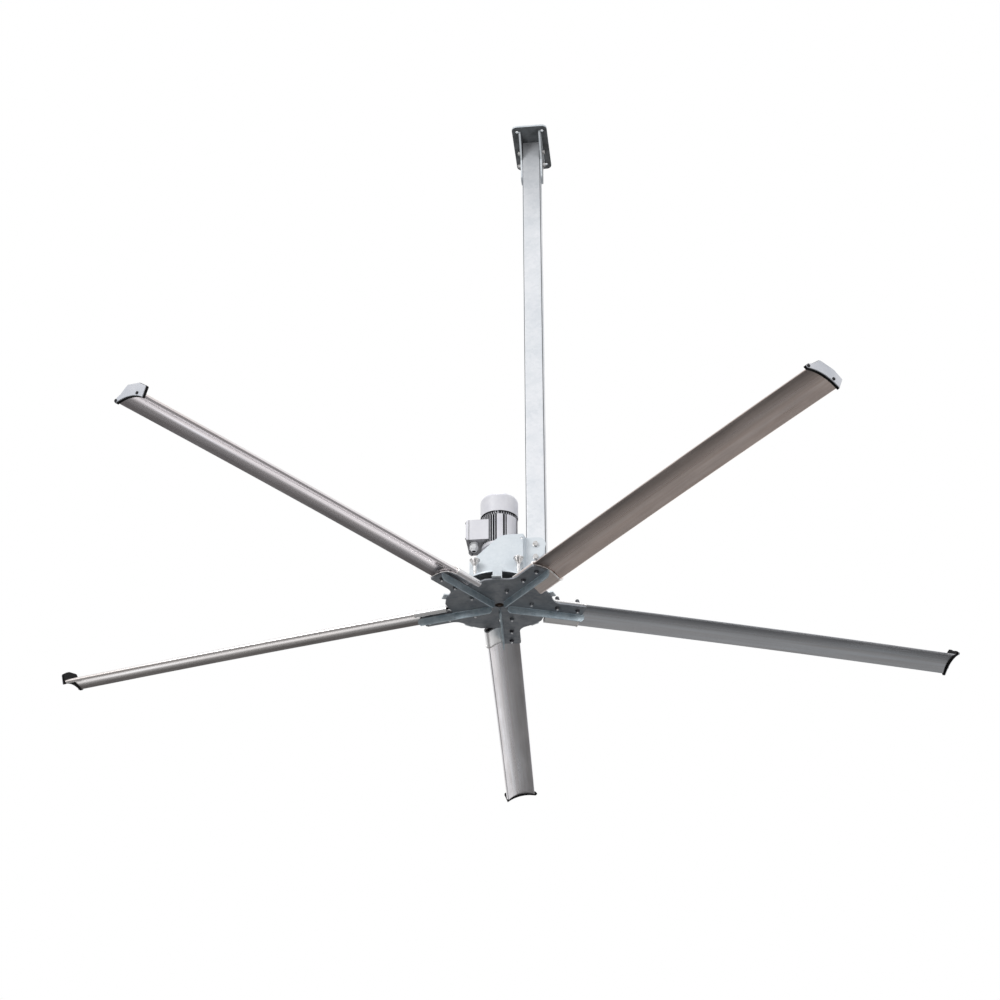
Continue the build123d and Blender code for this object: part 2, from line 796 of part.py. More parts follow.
lid_overhang = 3.0
lid_corner = 8.0
lid_flange = 9.0
lid_step = 4.0
lid_wall = 4.0
lid_recess = 9.0
lid_screw_side = 72.0
lid_screw_inset = 12.0
lid_centre = box_plane((box_bottom + box_top) / 2).from_local_coords((lid_face, box_middle, 0))
lid_outer_plane = Plane(
    origin=lid_centre, x_dir=box_plane(0.0).y_dir, z_dir=box_plane(0.0).x_dir
)
lid_width = 2 * (box_half_width + lid_overhang)
lid_height = box_top - box_bottom + 2 * lid_overhang
lid_bolt_height = box_top - box_bottom - 2 * lid_screw_inset

with BuildPart() as terminal_lid:
    with BuildSketch(lid_outer_plane.offset(box_mouth - lid_face)):
        RectangleRounded(lid_width, lid_height, lid_corner)
    extrude(amount=lid_flange)
    with BuildSketch(lid_outer_plane.offset(box_mouth - lid_face + lid_flange)):
        RectangleRounded(lid_width - 2 * lid_step, lid_height - 2 * lid_step, lid_corner - 1.0)
    extrude(amount=lid_face - box_mouth - lid_flange, taper=8)
    with BuildSketch(lid_outer_plane.offset(box_mouth - lid_face)):
        Rectangle(2 * (box_half_width - box_wall), lid_bolt_height - 4 * lid_wall)
    extrude(amount=lid_recess, mode=Mode.SUBTRACT)
    with BuildSketch(lid_outer_plane):
        with GridLocations(2 * lid_screw_side, lid_bolt_height, 2, 2):
            Circle(screw_thread)
    extrude(amount=box_mouth - lid_face, mode=Mode.SUBTRACT)
write(terminal_lid.part, "terminal_lid")

# Cable gland: a lock nut under the box, a neck, and a domed hexagonal clamp nut
gland_flats = 38.0
gland_nut = 9.0
gland_neck_radius = 16.0
gland_neck = 6.0
gland_clamp = 20.0
gland_dome = 11.0
gland_mouth = 9.5
gland_inside = 10.0
gland_origin = box_plane(box_bottom).from_local_coords((gland_out, gland_side, 0))
gland_axis = Plane(origin=gland_origin, x_dir=(1, 0, 0), z_dir=(0, 0, -1))

with BuildPart() as cable_gland:
    hexagon(gland_axis, gland_flats, 0.0, gland_nut)
    bar(gland_axis, gland_neck_radius, gland_nut, gland_nut + gland_neck)
    clamp_start = gland_nut + gland_neck
    hexagon(gland_axis, gland_flats, clamp_start, clamp_start + gland_clamp)
    with BuildSketch(gland_axis.offset(clamp_start + gland_clamp)):
        Circle(gland_flats / 2 - 1.0)
    extrude(amount=gland_dome, taper=24)
    bar(gland_axis, gland_thread, -box_wall - gland_inside, 0.0)
    with BuildSketch(gland_axis.offset(-box_wall - gland_inside)):
        Circle(gland_mouth)
    extrude(amount=box_wall + gland_inside + clamp_start + gland_clamp + gland_dome, mode=Mode.SUBTRACT)
write(cable_gland.part, "cable_gland")

# Identical small screws of the cowl tabs and the terminal lid
with BuildPart() as motor_screws:
    for tab in range(4):
        tab_angle = math.radians(cowl_tab_turn + 90.0 * tab)
        outward = (math.cos(tab_angle), math.sin(tab_angle), 0)
        tab_face = shield_radius + tab_sheet
        screw_seat = Plane(
            origin=(
                fan_x + tab_face * outward[0],
                tab_face * outward[1],
                hub_z + cowl_bottom - tab_drop / 2,
            ),
            x_dir=(0, 0, 1),
            z_dir=outward,
        )
        bar(screw_seat, screw_head_radius, 0.0, screw_head)
    for side in (-lid_screw_side, lid_screw_side):
        for rise in (-lid_bolt_height / 2, lid_bolt_height / 2):
            screw_seat = Plane(
                origin=lid_outer_plane.from_local_coords((side, rise, 0)),
                x_dir=(0, 0, 1),
                z_dir=lid_outer_plane.z_dir,
            )
            bar(screw_seat, screw_head_radius, 0.0, screw_head)
            bar(screw_seat, screw_thread, box_mouth - lid_face, 0.0)
write(motor_screws.part, "motor_screws")

# Star plate: a disc with one tab on the trailing side of each arm
plate = 8.0
disc_radius = 268.0
tab_end = 426.0
tab_side = -88.0
rib_half = 3.0
notch_start = 246.0
notch_side = 112.0
tab_fillet = 60.0
slot_start = 66.0
slot_side = 9.0
centre_hole = 23.0
hub_bolt = (149.0, -54.0)
blade_bolts_at = ((284.0, -47.0), (390.0, -42.0))
bolt_thread = 6.0
bolt_washer_radius = 12.0
bolt_washer = 2.5
fillet_y = tab_side - tab_fillet
fillet_x = math.sqrt((disc_radius + tab_fillet) ** 2 - fillet_y**2)
fillet_share = disc_radius / (disc_radius + tab_fillet)
mid_angle = (math.atan2(-fillet_y, -fillet_x) + math.pi / 2) / 2

with BuildPart() as star_plate:
    with BuildSketch(mode=Mode.PRIVATE) as tab_outline:
        with BuildLine():
            Line((0, 0), (fillet_x * fillet_share, fillet_y * fillet_share))
            ThreePointArc(
                (fillet_x * fillet_share, fillet_y * fillet_share),
                (
                    fillet_x + tab_fillet * math.cos(mid_angle),
                    fillet_y + tab_fillet * math.sin(mid_angle),
                ),
                (fillet_x, tab_side),
            )
            Polyline(
                (fillet_x, tab_side),
                (tab_end - 8.0, tab_side),
                (tab_end, tab_side + 8.0),
                (tab_end, rib_half),
                (0, rib_half),
                (0, 0),
            )
        make_face()
    with BuildSketch(level(0.0, first_arm_azimuth)):
        Circle(disc_radius)
        with PolarLocations(0, blade_count):
            add(tab_outline.sketch)
        with PolarLocations(0, blade_count):
            with Locations(((notch_start + tab_end) / 2, (rib_half + notch_side) / 2)):
                Rectangle(tab_end - notch_start, notch_side - rib_half, mode=Mode.SUBTRACT)
            with Locations(((slot_start + notch_start) / 2, (rib_half + slot_side) / 2)):
                Rectangle(
                    notch_start - slot_start + 1.0, slot_side - rib_half, mode=Mode.SUBTRACT
                )
            with Locations(hub_bolt, blade_bolts_at[0], blade_bolts_at[1]):
                Circle(bolt_thread + bolt_play, mode=Mode.SUBTRACT)
        Circle(centre_hole, mode=Mode.SUBTRACT)
    extrude(amount=plate)
write(star_plate.part, "star_plate")

# Five ribs, flat bars on edge welded under the star plate along each arm
rib_start = 42.0
rib_end = tab_end + 10.0
rib_depth = 36.0

with BuildPart() as hub_ribs:
    for index in range(blade_count):
        turn = math.radians(first_arm_azimuth + index * arm_step)
        rib_side = Plane(
            origin=(
                fan_x + rib_half * math.sin(turn),
                -rib_half * math.cos(turn),
                hub_z,
            ),
            x_dir=(math.cos(turn), math.sin(turn), 0),
            z_dir=(math.sin(turn), -math.cos(turn), 0),
        )
        with BuildSketch(rib_side):
            with BuildLine():
                Polyline(
                    (rib_start, 0),
                    (rib_start, -rib_depth + 12.0),
                    (rib_start + 12.0, -rib_depth),
                    (rib_end - 14.0, -rib_depth),
                    (rib_end, -rib_depth + 14.0),
                    (rib_end, 0),
                    close=True,
                )
            make_face()
        extrude(amount=-2 * rib_half)
write(hub_ribs.part, "hub_ribs")

# Five retaining clips, one in each gap, which hook over the base plate's rim
clip_width = 46.0
clip_sheet = 6.0
clip_riser = 197.0
clip_lip = 182.0
clip_foot_end = 288.0
clip_top = 109.0

with BuildPart() as retaining_clips:
    for index in range(blade_count):
        turn = math.radians(first_arm_azimuth + (index + 0.5) * arm_step)
        clip_side = Plane(
            origin=(
                fan_x + clip_width / 2 * math.sin(turn),
                -clip_width / 2 * math.cos(turn),
                hub_z,
            ),
            x_dir=(math.cos(turn), math.sin(turn), 0),
            z_dir=(math.sin(turn), -math.cos(turn), 0),
        )
        with BuildSketch(clip_side):
            with BuildLine():
                Polyline(
                    (clip_riser, plate),
                    (clip_foot_end, plate),
                    (clip_foot_end, plate + clip_sheet),
                    (clip_riser + clip_sheet, plate + clip_sheet),
                    (clip_riser + clip_sheet, clip_top),
                    (clip_lip, clip_top),
                    (clip_lip, clip_top - clip_sheet),
                    (clip_riser, clip_top - clip_sheet),
                    close=True,
                )
            make_face()
        extrude(amount=-clip_width)
write(retaining_clips.part, "retaining_clips")

# Hub boss on the output shaft, with a wide flange on the star plate
boss_radius = 45.0
boss_top = 80.0
flange_radius = 172.0
flange_top = 18.0

with BuildPart() as hub_boss:
    bar(level(0.0), flange_radius, plate, flange_top)
    bar(level(0.0), boss_radius, flange_top, boss_top)
    with BuildSketch(level(plate)):
        Circle(output_shaft_radius)
    extrude(amount=boss_top - plate, mode=Mode.SUBTRACT)
    with BuildSketch(level(plate)):
        Circle(centre_hole)
    extrude(amount=shaft_low_end - plate, mode=Mode.SUBTRACT)
    with BuildSketch(level(plate, first_arm_azimuth)):
        with PolarLocations(0, blade_count):
            with Locations(hub_bolt):
                Circle(bolt_thread + bolt_play)
    extrude(amount=flange_top - plate, mode=Mode.SUBTRACT)
write(hub_boss.part, "hub_boss")

with BuildPart() as hub_bolts:
    for index in range(blade_count):
        seat = level(0.0, first_arm_azimuth + index * arm_step)
        head_plane = Plane(
            origin=seat.from_local_coords((hub_bolt[0], hub_bolt[1], 0)),
            x_dir=seat.x_dir,
            z_dir=(0, 0, 1),
        )
        bolt_and_nut(head_plane, bolt_thread, flange_top, bolt_washer_radius, bolt_washer)
write(hub_bolts.part, "hub_bolts")

# Bolt and washer that hold the hub on the shaft's end
with BuildPart() as shaft_end_bolt:
    bar(level(0.0), centre_hole - 0.5, shaft_low_end - 6.0, shaft_low_end)
    hexagon(level(0.0), 19.0, shaft_low_end - 14.0, shaft_low_end - 6.0)
    bar(level(0.0), 6.0, shaft_low_end, shaft_low_end + 30.0)
write(shaft_end_bolt.part, "shaft_end_bolt")

# Blade section, in chord coordinates: x to the nose, y up from the chord line
blade_pitch = 11.3
blade_wall = 2.5
tail_x = -82.0
nose_x = 74.0
camber = 18.0
section_height = -1.0
root_end = 254.0
sleeve_start = 250.0
sleeve_end = 420.0
sleeve_wall = 6.0
sleeve_gap = 0.4
blade_sag = 22.0
pitch = math.radians(blade_pitch)
chord_direction = (0, math.cos(pitch), -math.sin(pitch))


def section_plane(distance):
    """Plane across the master arm, with x along the chord towards the nose."""
    return Plane(
        origin=(distance, 0, section_height), x_dir=chord_direction, z_dir=(1, 0, 0)
    )


def blade_face():
    """Outer face of the blade section: hollow underside, round nose, thin tail."""
    with BuildSketch(mode=Mode.PRIVATE) as face:
        with BuildLine():
            lower = ThreePointArc((tail_x, 0.0), (-6.0, camber), (nose_x, -3.0))
            nose = ThreePointArc(lower @ 1, (85.0, 5.0), (77.0, 16.5))
            upper = ThreePointArc(nose @ 1, (40.0, 29.5), (0.0, 34.5))
            back = TangentArc(upper @ 1, (tail_x - 2.0, 2.6), tangent=upper % 1)
            Line(back @ 1, lower @ 0)
        make_face()
    return face.sketch


def inner_cells():
    """Hollow cells of the blade, left between its skin and two webs."""
    with BuildSketch(mode=Mode.PRIVATE) as cells:
        add(blade_face())
        offset(amount=-blade_wall, mode=Mode.REPLACE)
        for web_x in (-32.0, 26.0):
            with Locations((web_x, 20.0)):
                Rectangle(blade_wall, 60.0, mode=Mode.SUBTRACT)
    return cells.sketch


# Blade path: straight through the sleeve, then a flat arc that sags under its own weight
sag_start = sleeve_end + 5.0
sag_length = fan_radius - sag_start
sag_radius = (sag_length**2 + blade_sag**2) / (2 * blade_sag)
sag_angle = math.degrees(math.asin(sag_length / sag_radius))
path_plane = Plane(origin=(0, 0, section_height), x_dir=(1, 0, 0), z_dir=(0, -1, 0))
tip_direction = (math.cos(math.radians(sag_angle)), 0, -math.sin(math.radians(sag_angle)))
tip_point = (fan_radius, 0, section_height - blade_sag)

with BuildPart() as blade_master:
    with BuildLine(path_plane) as blade_path:
        Line((root_end, 0), (sag_start, 0))
        JernArc((sag_start, 0), (1, 0), sag_radius, -sag_angle)
    with BuildSketch(section_plane(root_end)):
        add(blade_face())
        add(inner_cells(), mode=Mode.SUBTRACT)
    sweep(path=blade_path.wires()[0])
    with BuildSketch(Plane.XY):
        with Locations(blade_bolts_at[0], blade_bolts_at[1]):
            Circle(bolt_thread + bolt_play)
    extrude(amount=90.0, mode=Mode.SUBTRACT)

with BuildPart() as sleeve_master:
    with BuildSketch(section_plane(sleeve_start)):
        add(offset(blade_face(), amount=sleeve_gap + sleeve_wall, mode=Mode.PRIVATE))
        add(offset(blade_face(), amount=sleeve_gap, mode=Mode.PRIVATE), mode=Mode.SUBTRACT)
    extrude(amount=sleeve_end - sleeve_start)
    with BuildSketch(Plane.XY):
        with Locations(blade_bolts_at[0], blade_bolts_at[1]):
            Circle(bolt_thread + bolt_play)
    extrude(amount=90.0, mode=Mode.SUBTRACT)


def tip_plane(distance):
    """Plane across the blade's sagging end, a distance outside it."""
    origin = (
        tip_point[0] + distance * tip_direction[0],
        0,
        tip_point[2] + distance * tip_direction[2],
    )
    along = Vector(*chord_direction)
    return Plane(origin=origin, x_dir=along, z_dir=tip_direction)


# Tip cap: a flange that stands over the section, with plugs that fit the blade's cells
cap_flange = 12.0
cap_plug = 40.0
plug_gap = 0.3
cap_screw_at = (47.0, 17.0)
tail_screw_at = (-86.0, 7.0)
cap_screw_radius = 3.0
cap_screw_bite = 30.0
winglet = 4.5
winglet_inset = 2.0
winglet_bevel = 1.0
cap_tail_foot = (-86.0, -4.0)
cap_nose_foot = (84.0, -10.0)


def tip_face():
    """Outline of the tip: a pointed tail, a hump over the blade and an arch under it."""
    with BuildSketch(mode=Mode.PRIVATE) as face:
        with BuildLine():
            FilletPolyline(
                cap_tail_foot,
                (-99.5, 3.0),
                (-86.0, 23.0),
                (-66.0, 35.0),
                (-33.0, 72.5),
                (44.0, 67.5),
                (95.0, 43.0),
                cap_nose_foot,
                radius=(3.0, 10.0, 14.0, 12.0, 40.0, 8.0),
            )
            ThreePointArc(cap_nose_foot, (0.0, 11.0), cap_tail_foot)
        make_face()
    return face.sketch


with BuildPart() as cap_master:
    with BuildSketch(tip_plane(0.0)):
        add(tip_face())
    extrude(amount=cap_flange)
    with BuildSketch(tip_plane(0.0)):
        add(offset(inner_cells(), amount=-plug_gap, mode=Mode.PRIVATE))
    extrude(amount=-cap_plug)
    with BuildSketch(tip_plane(cap_flange)):
        with Locations(cap_screw_at, tail_screw_at):
            Circle(cap_screw_radius)
    extrude(amount=-cap_flange - cap_screw_bite, mode=Mode.SUBTRACT)

with BuildPart() as winglet_master:
    with BuildSketch(tip_plane(cap_flange)):
        add(offset(tip_face(), amount=-winglet_inset, mode=Mode.PRIVATE))
    extrude(amount=winglet)
    outer_edges = faces().sort_by(Axis.X)[-1].edges()
    chamfer(outer_edges, length=winglet_bevel)
    with BuildSketch(tip_plane(cap_flange)):
        with Locations(cap_screw_at, tail_screw_at):
            Circle(cap_screw_radius)
    extrude(amount=winglet, mode=Mode.SUBTRACT)

for index in range(blade_count):
    place = arm_location(index)
    number = index + 1
    write(place * blade_master.part, f"blade_{number}")
    write(place * sleeve_master.part, f"blade_sleeve_{number}")
    write(place * cap_master.part, f"tip_cap_{number}")
    write(place * winglet_master.part, f"winglet_{number}")

# Blade bolts, two through each tab, sleeve and blade
blade_grip = 45.0

with BuildPart() as blade_bolts:
    for index in range(blade_count):
        seat = level(0.0, first_arm_azimuth + index * arm_step)
        for bolt_x, bolt_y in blade_bolts_at:
            head_plane = Plane(
                origin=seat.from_local_coords((bolt_x, bolt_y, 0)),
                x_dir=seat.x_dir,
                z_dir=(0, 0, 1),
            )
            bolt_and_nut(head_plane, bolt_thread, blade_grip, bolt_washer_radius, bolt_washer)
write(blade_bolts.part, "blade_bolts")

# Cap screws: a long one into the cap's plug and a short one near the tail
cap_screw_head_radius = 7.0
cap_screw_head = 3.5

with BuildPart() as screw_master:
    head_seat = tip_plane(cap_flange + winglet)
    with BuildSketch(head_seat):
        with Locations(cap_screw_at, tail_screw_at):
            Circle(cap_screw_head_radius)
    extrude(amount=cap_screw_head)
    with BuildSketch(head_seat):
        with Locations(cap_screw_at):
            Circle(cap_screw_radius)
    extrude(amount=-cap_flange - winglet - cap_screw_bite)
    with BuildSketch(head_seat):
        with Locations(tail_screw_at):
            Circle(cap_screw_radius)
    extrude(amount=-cap_flange - winglet)

with BuildPart() as cap_screws:
    for index in range(blade_count):
        add(arm_location(index) * screw_master.part)
write(cap_screws.part, "cap_screws")
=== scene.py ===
"""Visual model of a large slow ceiling fan for a livestock barn, seen from below."""

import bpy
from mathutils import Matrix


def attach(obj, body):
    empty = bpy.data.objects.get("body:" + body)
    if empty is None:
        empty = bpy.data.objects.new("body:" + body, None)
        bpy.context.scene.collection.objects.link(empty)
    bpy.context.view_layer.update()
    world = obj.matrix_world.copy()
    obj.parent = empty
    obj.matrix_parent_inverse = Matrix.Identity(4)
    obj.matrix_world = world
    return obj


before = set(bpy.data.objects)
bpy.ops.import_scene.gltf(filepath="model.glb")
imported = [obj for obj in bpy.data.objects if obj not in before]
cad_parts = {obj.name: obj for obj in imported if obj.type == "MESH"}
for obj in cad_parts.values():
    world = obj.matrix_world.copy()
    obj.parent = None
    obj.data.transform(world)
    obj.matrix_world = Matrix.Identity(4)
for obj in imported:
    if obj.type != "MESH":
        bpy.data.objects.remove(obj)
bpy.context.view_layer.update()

import logging
import math
from dataclasses import dataclass
from enum import Enum
from typing import Sequence

import bmesh
import bpy
from mathutils import Euler, Matrix, Vector

Tree = bpy.types.NodeTree
Socket = bpy.types.NodeSocket
Material = bpy.types.Material
Mesh = bmesh.types.BMesh
Pair = tuple[float, float]
Triple = tuple[float, float, float]
Colour = tuple[float, float, float, float]

log = logging.getLogger("barn_fan")
MM = 0.001

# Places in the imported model's frame, in metres and degrees
FAN_AXIS_X = -0.189
HUB_Z = -2.913
FIRST_ARM = 21.0
ARM_COUNT = 5
ARM_STEP = 360.0 / ARM_COUNT

# The part of a noise texture's range that holds nearly all of its values
NOISE_SPAN = (0.3, 0.7)


class Body(Enum):
    """The rigid bodies that pieces ride on."""

    HANGER = "hanger"
    FAN = "fan_rotor"


def linear(hex_colour: str) -> Colour:
    """Turns an sRGB hex colour to linear light.

    Args:
        hex_colour: Six hex digits.

    Returns:
        Red, green, blue and an alpha of one.
    """
    values = [int(hex_colour[i : i + 2], 16) / 255 for i in (0, 2, 4)]
    parts = [v / 12.92 if v <= 0.04045 else ((v + 0.055) / 1.055) ** 2.4 for v in values]
    return (parts[0], parts[1], parts[2], 1.0)


def add_node(
    tree: Tree, kind: str, inputs: dict[str | int, object] | None = None, **settings: object
) -> bpy.types.Node:
    """Adds one shader node with its settings and links.

    Args:
        tree: The node tree that it goes into.
        kind: The node's type name.
        inputs: Socket name or number to a value, or to the socket that feeds it.
        **settings: Attributes to set before the sockets.

    Returns:
        The new node.
    """
    node = tree.nodes.new(kind)
    for key, value in settings.items():
        setattr(node, key, value)
    for key, value in (inputs or {}).items():
        socket = node.inputs[key]
        if isinstance(value, Socket):
            tree.links.new(value, socket)
        else:
            socket.default_value = value
    return node


def remap(
    tree: Tree,
    value: Socket,
    low: float,
    high: float,
    start: float | Socket = 0.0,
    end: float | Socket = 1.0,
) -> Socket:
    """Maps the values from low to high onto those from start to end, held at both ends.

    Args:
        tree: The node tree.
        value: The value to map.
        low: The value that gives start.
        high: The value that gives end.
        start: The result at low.
        end: The result at high.

    Returns:
        The socket that carries the result.
    """
    spans = {0: value, 1: low, 2: high, 3: start, 4: end}
    return add_node(tree, "ShaderNodeMapRange", spans).outputs[0]


def maths(tree: Tree, operation: str, *values: float | Socket) -> Socket:
    """Works out one value from others.

    Args:
        tree: The node tree.
        operation: The maths node's operation.
        *values: What it works on, in order.

    Returns:
        The socket that carries the result.
    """
    inputs = dict(enumerate(values))
    return add_node(tree, "ShaderNodeMath", inputs, operation=operation).outputs[0]


def vector_maths(tree: Tree, operation: str, *values: Triple | Socket) -> Socket:
    """Works out one vector, length or dot product from vectors.

    Args:
        tree: The node tree.
        operation: The vector maths node's operation.
        *values: What it works on, in order.

    Returns:
        The socket that carries the result.
    """
    inputs = dict(enumerate(values))
    node = add_node(tree, "ShaderNodeVectorMath", inputs, operation=operation)
    return node.outputs["Value" if operation in ("LENGTH", "DOT_PRODUCT") else "Vector"]


def axis_part(tree: Tree, vector: Socket, axis: str) -> Socket:
    """One part of a vector.

    Args:
        tree: The node tree.
        vector: The vector.
        axis: X, Y or Z.

    Returns:
        The socket that carries the part.
    """
    return add_node(tree, "ShaderNodeSeparateXYZ", {0: vector}).outputs[axis]


def mix_colours(
    tree: Tree,
    share: Socket,
    first: Colour | Socket,
    second: Colour | Socket,
    blend_type: str = "MIX",
) -> Socket:
    """Blends two colours.

    Args:
        tree: The node tree.
        share: From 0 for the first colour to 1 for the second.
        first: The first colour.
        second: The second colour.
        blend_type: How the second colour acts on the first.

    Returns:
        The socket that carries the colour.
    """
    inputs = {0: share, 6: first, 7: second}
    node = add_node(tree, "ShaderNodeMix", inputs, data_type="RGBA", blend_type=blend_type)
    return node.outputs[2]


def add_noise(
    tree: Tree, place: Socket, size_mm: float, detail: float, roughness: float = 0.5
) -> bpy.types.Node:
    """Adds a soft noise texture.

    Args:
        tree: The node tree.
        place: The position that it is drawn in, in metres.
        size_mm: The size of its blots.
        detail: How many finer layers it has.
        roughness: How strong the finer layers are.

    Returns:
        The texture node.
    """
    inputs = {
        "Vector": place,
        "Scale": 1 / (size_mm * MM),
        "Detail": detail,
        "Roughness": roughness,
    }
    return add_node(tree, "ShaderNodeTexNoise", inputs)


def object_place(tree: Tree) -> Socket:
    """The shaded point's position in the row's frame.

    Args:
        tree: The node tree.

    Returns:
        The socket that carries it, in metres.
    """
    return add_node(tree, "ShaderNodeTexCoord").outputs["Object"]


def flat_normal(tree: Tree) -> Socket:
    """The direction that the shaded face looks in, without bump or smoothing.

    Args:
        tree: The node tree.

    Returns:
        The socket that carries it.
    """
    return add_node(tree, "ShaderNodeNewGeometry").outputs["True Normal"]


def empty_tree(owner: Material | bpy.types.World) -> Tree:
    """Switches an owner's shader nodes on and clears them.

    Args:
        owner: A material or a world.

    Returns:
        Its empty node tree.
    """
    owner.use_nodes = True
    owner.node_tree.nodes.clear()
    return owner.node_tree


@dataclass(frozen=True)
class FaceShade:
    """Painted shade that darkens the faces along one direction, thinner in patches."""

    broad: Triple
    cover: float = 0.9
    patch_mm: float = 60.0
    patches: Pair = (0.35, 0.6)
    thinnest: float = 0.75
    squareness: Pair = (0.6, 0.8)

    def cover_socket(self, tree: Tree, place: Socket) -> Socket:
        """How much painted shade lies on the surface.

        Args:
            tree: The material's node tree.
            place: The position that the pattern is drawn in, in metres.

        Returns:
            The socket that carries the cover, from 0 to 1.
        """
        facing = vector_maths(tree, "DOT_PRODUCT", flat_normal(tree), self.broad)
        noise = add_noise(tree, place, self.patch_mm, 3.0).outputs["Fac"]
        thin = remap(tree, noise, *self.patches, self.thinnest * self.cover, self.cover)
        return remap(tree, maths(tree, "ABSOLUTE", facing), *self.squareness, 0.0, thin)


@dataclass(frozen=True)
class Finish:
    """A surface finish: what it is made of, how its surface was made, how dirty it is and any
    painted shade.
    """

    name: str
    colour: str
    shade: str
    roughness: float
    metallic: float = 0.0
    mottle_mm: float = 120.0
    grain_mm: float = 4.0
    bump_mm: float = 0.05
    specular: float = 0.5
    rougher: float = 0.08
    smoother: float = 0.05
    dirt_and_shade: str = "3A3A3C"
    dirt_and_shade_metallic: float = 0.0
    dirt_and_shade_roughness: float = 0.6
    face_shade: FaceShade | None = None

    def place(self, tree: Tree) -> Socket:
        """The position that patterns are drawn in.

        Args:
            tree: The material's node tree.

        Returns:
            The socket that carries it, in metres.
        """
        return object_place(tree)

    def mottle(self, tree: Tree, place: Socket) -> Socket:
        """Soft clouds of tone over the surface.

        Args:
            tree: The material's node tree.
            place: The position that the pattern is drawn in, in metres.

        Returns:
            The socket that carries the pattern, from 0 to 1.
        """
        return add_noise(tree, place, self.mottle_mm, 4.0, 0.6).outputs["Fac"]

    def soil_and_shade(self, tree: Tree, place: Socket) -> Socket | None:
        """Where dirt and painted shade cover the surface: here, the painted shade on the faces that
        it darkens, if it has any.

        Args:
            tree: The material's node tree.
            place: The position that the pattern is drawn in, in metres.

        Returns:
            The socket that carries the cover, from 0 to 1, or None where there is none.
        """
        return self.face_shade.cover_socket(tree, place) if self.face_shade else None

    def tint(self, tree: Tree, colour: Socket) -> Socket:
        """The colour with any tint over it. A plain finish has none.

        Args:
            tree: The material's node tree.
            colour: The bare surface's colour.

        Returns:
            The socket that carries the colour.
        """
        return colour

    def build(self) -> Material:
        """Makes the material.

        Returns:
            A node material, named after the finish.
        """
        material = bpy.data.materials.new(self.name)
        tree = empty_tree(material)
        place = self.place(tree)
        tone = self.mottle(tree, place)
        clouds = remap(tree, tone, *NOISE_SPAN)
        colour = mix_colours(tree, clouds, linear(self.shade), linear(self.colour))
        colour = self.tint(tree, colour)
        dullest = min(1.0, self.roughness + self.rougher)
        gloss = remap(tree, tone, *NOISE_SPAN, dullest, self.roughness - self.smoother)
        metal = self.metallic
        # Dirt mixed over the colour: on some finishes it is painted shade, and on the blades it is
        # thinned as a painted sheen
        soil_and_shade = self.soil_and_shade(tree, place)
        if soil_and_shade is not None:
            colour = mix_colours(tree, soil_and_shade, colour, linear(self.dirt_and_shade))
            gloss = remap(tree, soil_and_shade, 0.0, 1.0, gloss, self.dirt_and_shade_roughness)
            metal = remap(tree, soil_and_shade, 0.0, 1.0, self.metallic, self.dirt_and_shade_metallic)
        grain = add_noise(tree, place, self.grain_mm, 3.0).outputs["Fac"]
        relief = {"Strength": 1.0, "Distance": self.bump_mm * MM, "Height": grain}
        shader = add_node(
            tree,
            "ShaderNodeBsdfPrincipled",
            {
                "Base Color": colour,
                "Metallic": metal,
                "Roughness": gloss,
                "Specular IOR Level": self.specular,
                "Normal": add_node(tree, "ShaderNodeBump", relief).outputs[0],
            },
        )
        add_node(tree, "ShaderNodeOutputMaterial", {"Surface": shader.outputs[0]})
        return material


@dataclass(frozen=True)
class HotDipZinc(Finish):
    """Steel dipped in molten zinc: pale, half matt, with a faint spangle of crystals."""

    metallic: float = 0.5
    spangle_mm: float = 16.0
    spangle_depth: float = 0.16

    def mottle(self, tree: Tree, place: Socket) -> Socket:
        """Clouds of tone with a patchwork of crystals, drawn coarse enough to show.

        Args:
            tree: The material's node tree.
            place: The position that the pattern is drawn in, in metres.

        Returns:
            The socket that carries the pattern.
        """
        size = self.spangle_mm * MM
        warp = add_noise(tree, place, self.spangle_mm, 2.0).outputs["Color"]
        bent = vector_maths(tree, "MULTIPLY_ADD", warp, (size, size, size), place)
        crystals = add_node(tree, "ShaderNodeTexVoronoi", {"Vector": bent, "Scale": 1 / size})
        cell = add_node(tree, "ShaderNodeSeparateColor", {0: crystals.outputs["Color"]})
        centred = maths(tree, "SUBTRACT", cell.outputs[0], 0.5)
        clouds = Finish.mottle(self, tree, place)
        return maths(tree, "MULTIPLY_ADD", centred, self.spangle_depth, clouds)


@dataclass(frozen=True)
class CornerAndTopShade(HotDipZinc):
    """Zinc over a rolled square tube, with painted shade along its rounded corners and down from the
    ceiling plate.
    """

    cover: float = 0.95
    dirt_and_shade: str = "3E4147"
    dirt_and_shade_roughness: float = 0.9
    roundness: Pair = (0.82, 0.98)
    unshaded_z: float = -0.62
    shaded_z: float = -0.1
    top_cover: float = 0.34

    def soil_and_shade(self, tree: Tree, place: Socket) -> Socket | None:
        """Painted shade where the surface turns from one flat side to the next, and near the top.

        Args:
            tree: The material's node tree.
            place: The position that the pattern is drawn in, in metres.

        Returns:
            The socket that carries the cover.
        """
        sides = vector_maths(tree, "ABSOLUTE", flat_normal(tree))
        flattest = maths(
            tree, "MAXIMUM", axis_part(tree, sides, "X"), axis_part(tree, sides, "Y")
        )
        corners = remap(tree, flattest, *self.roundness, self.cover, 0.0)
        height = axis_part(tree, place, "Z")
        top = remap(tree, height, self.unshaded_z, self.shaded_z, 0.0, self.top_cover)
        return maths(tree, "MAXIMUM", corners, top)


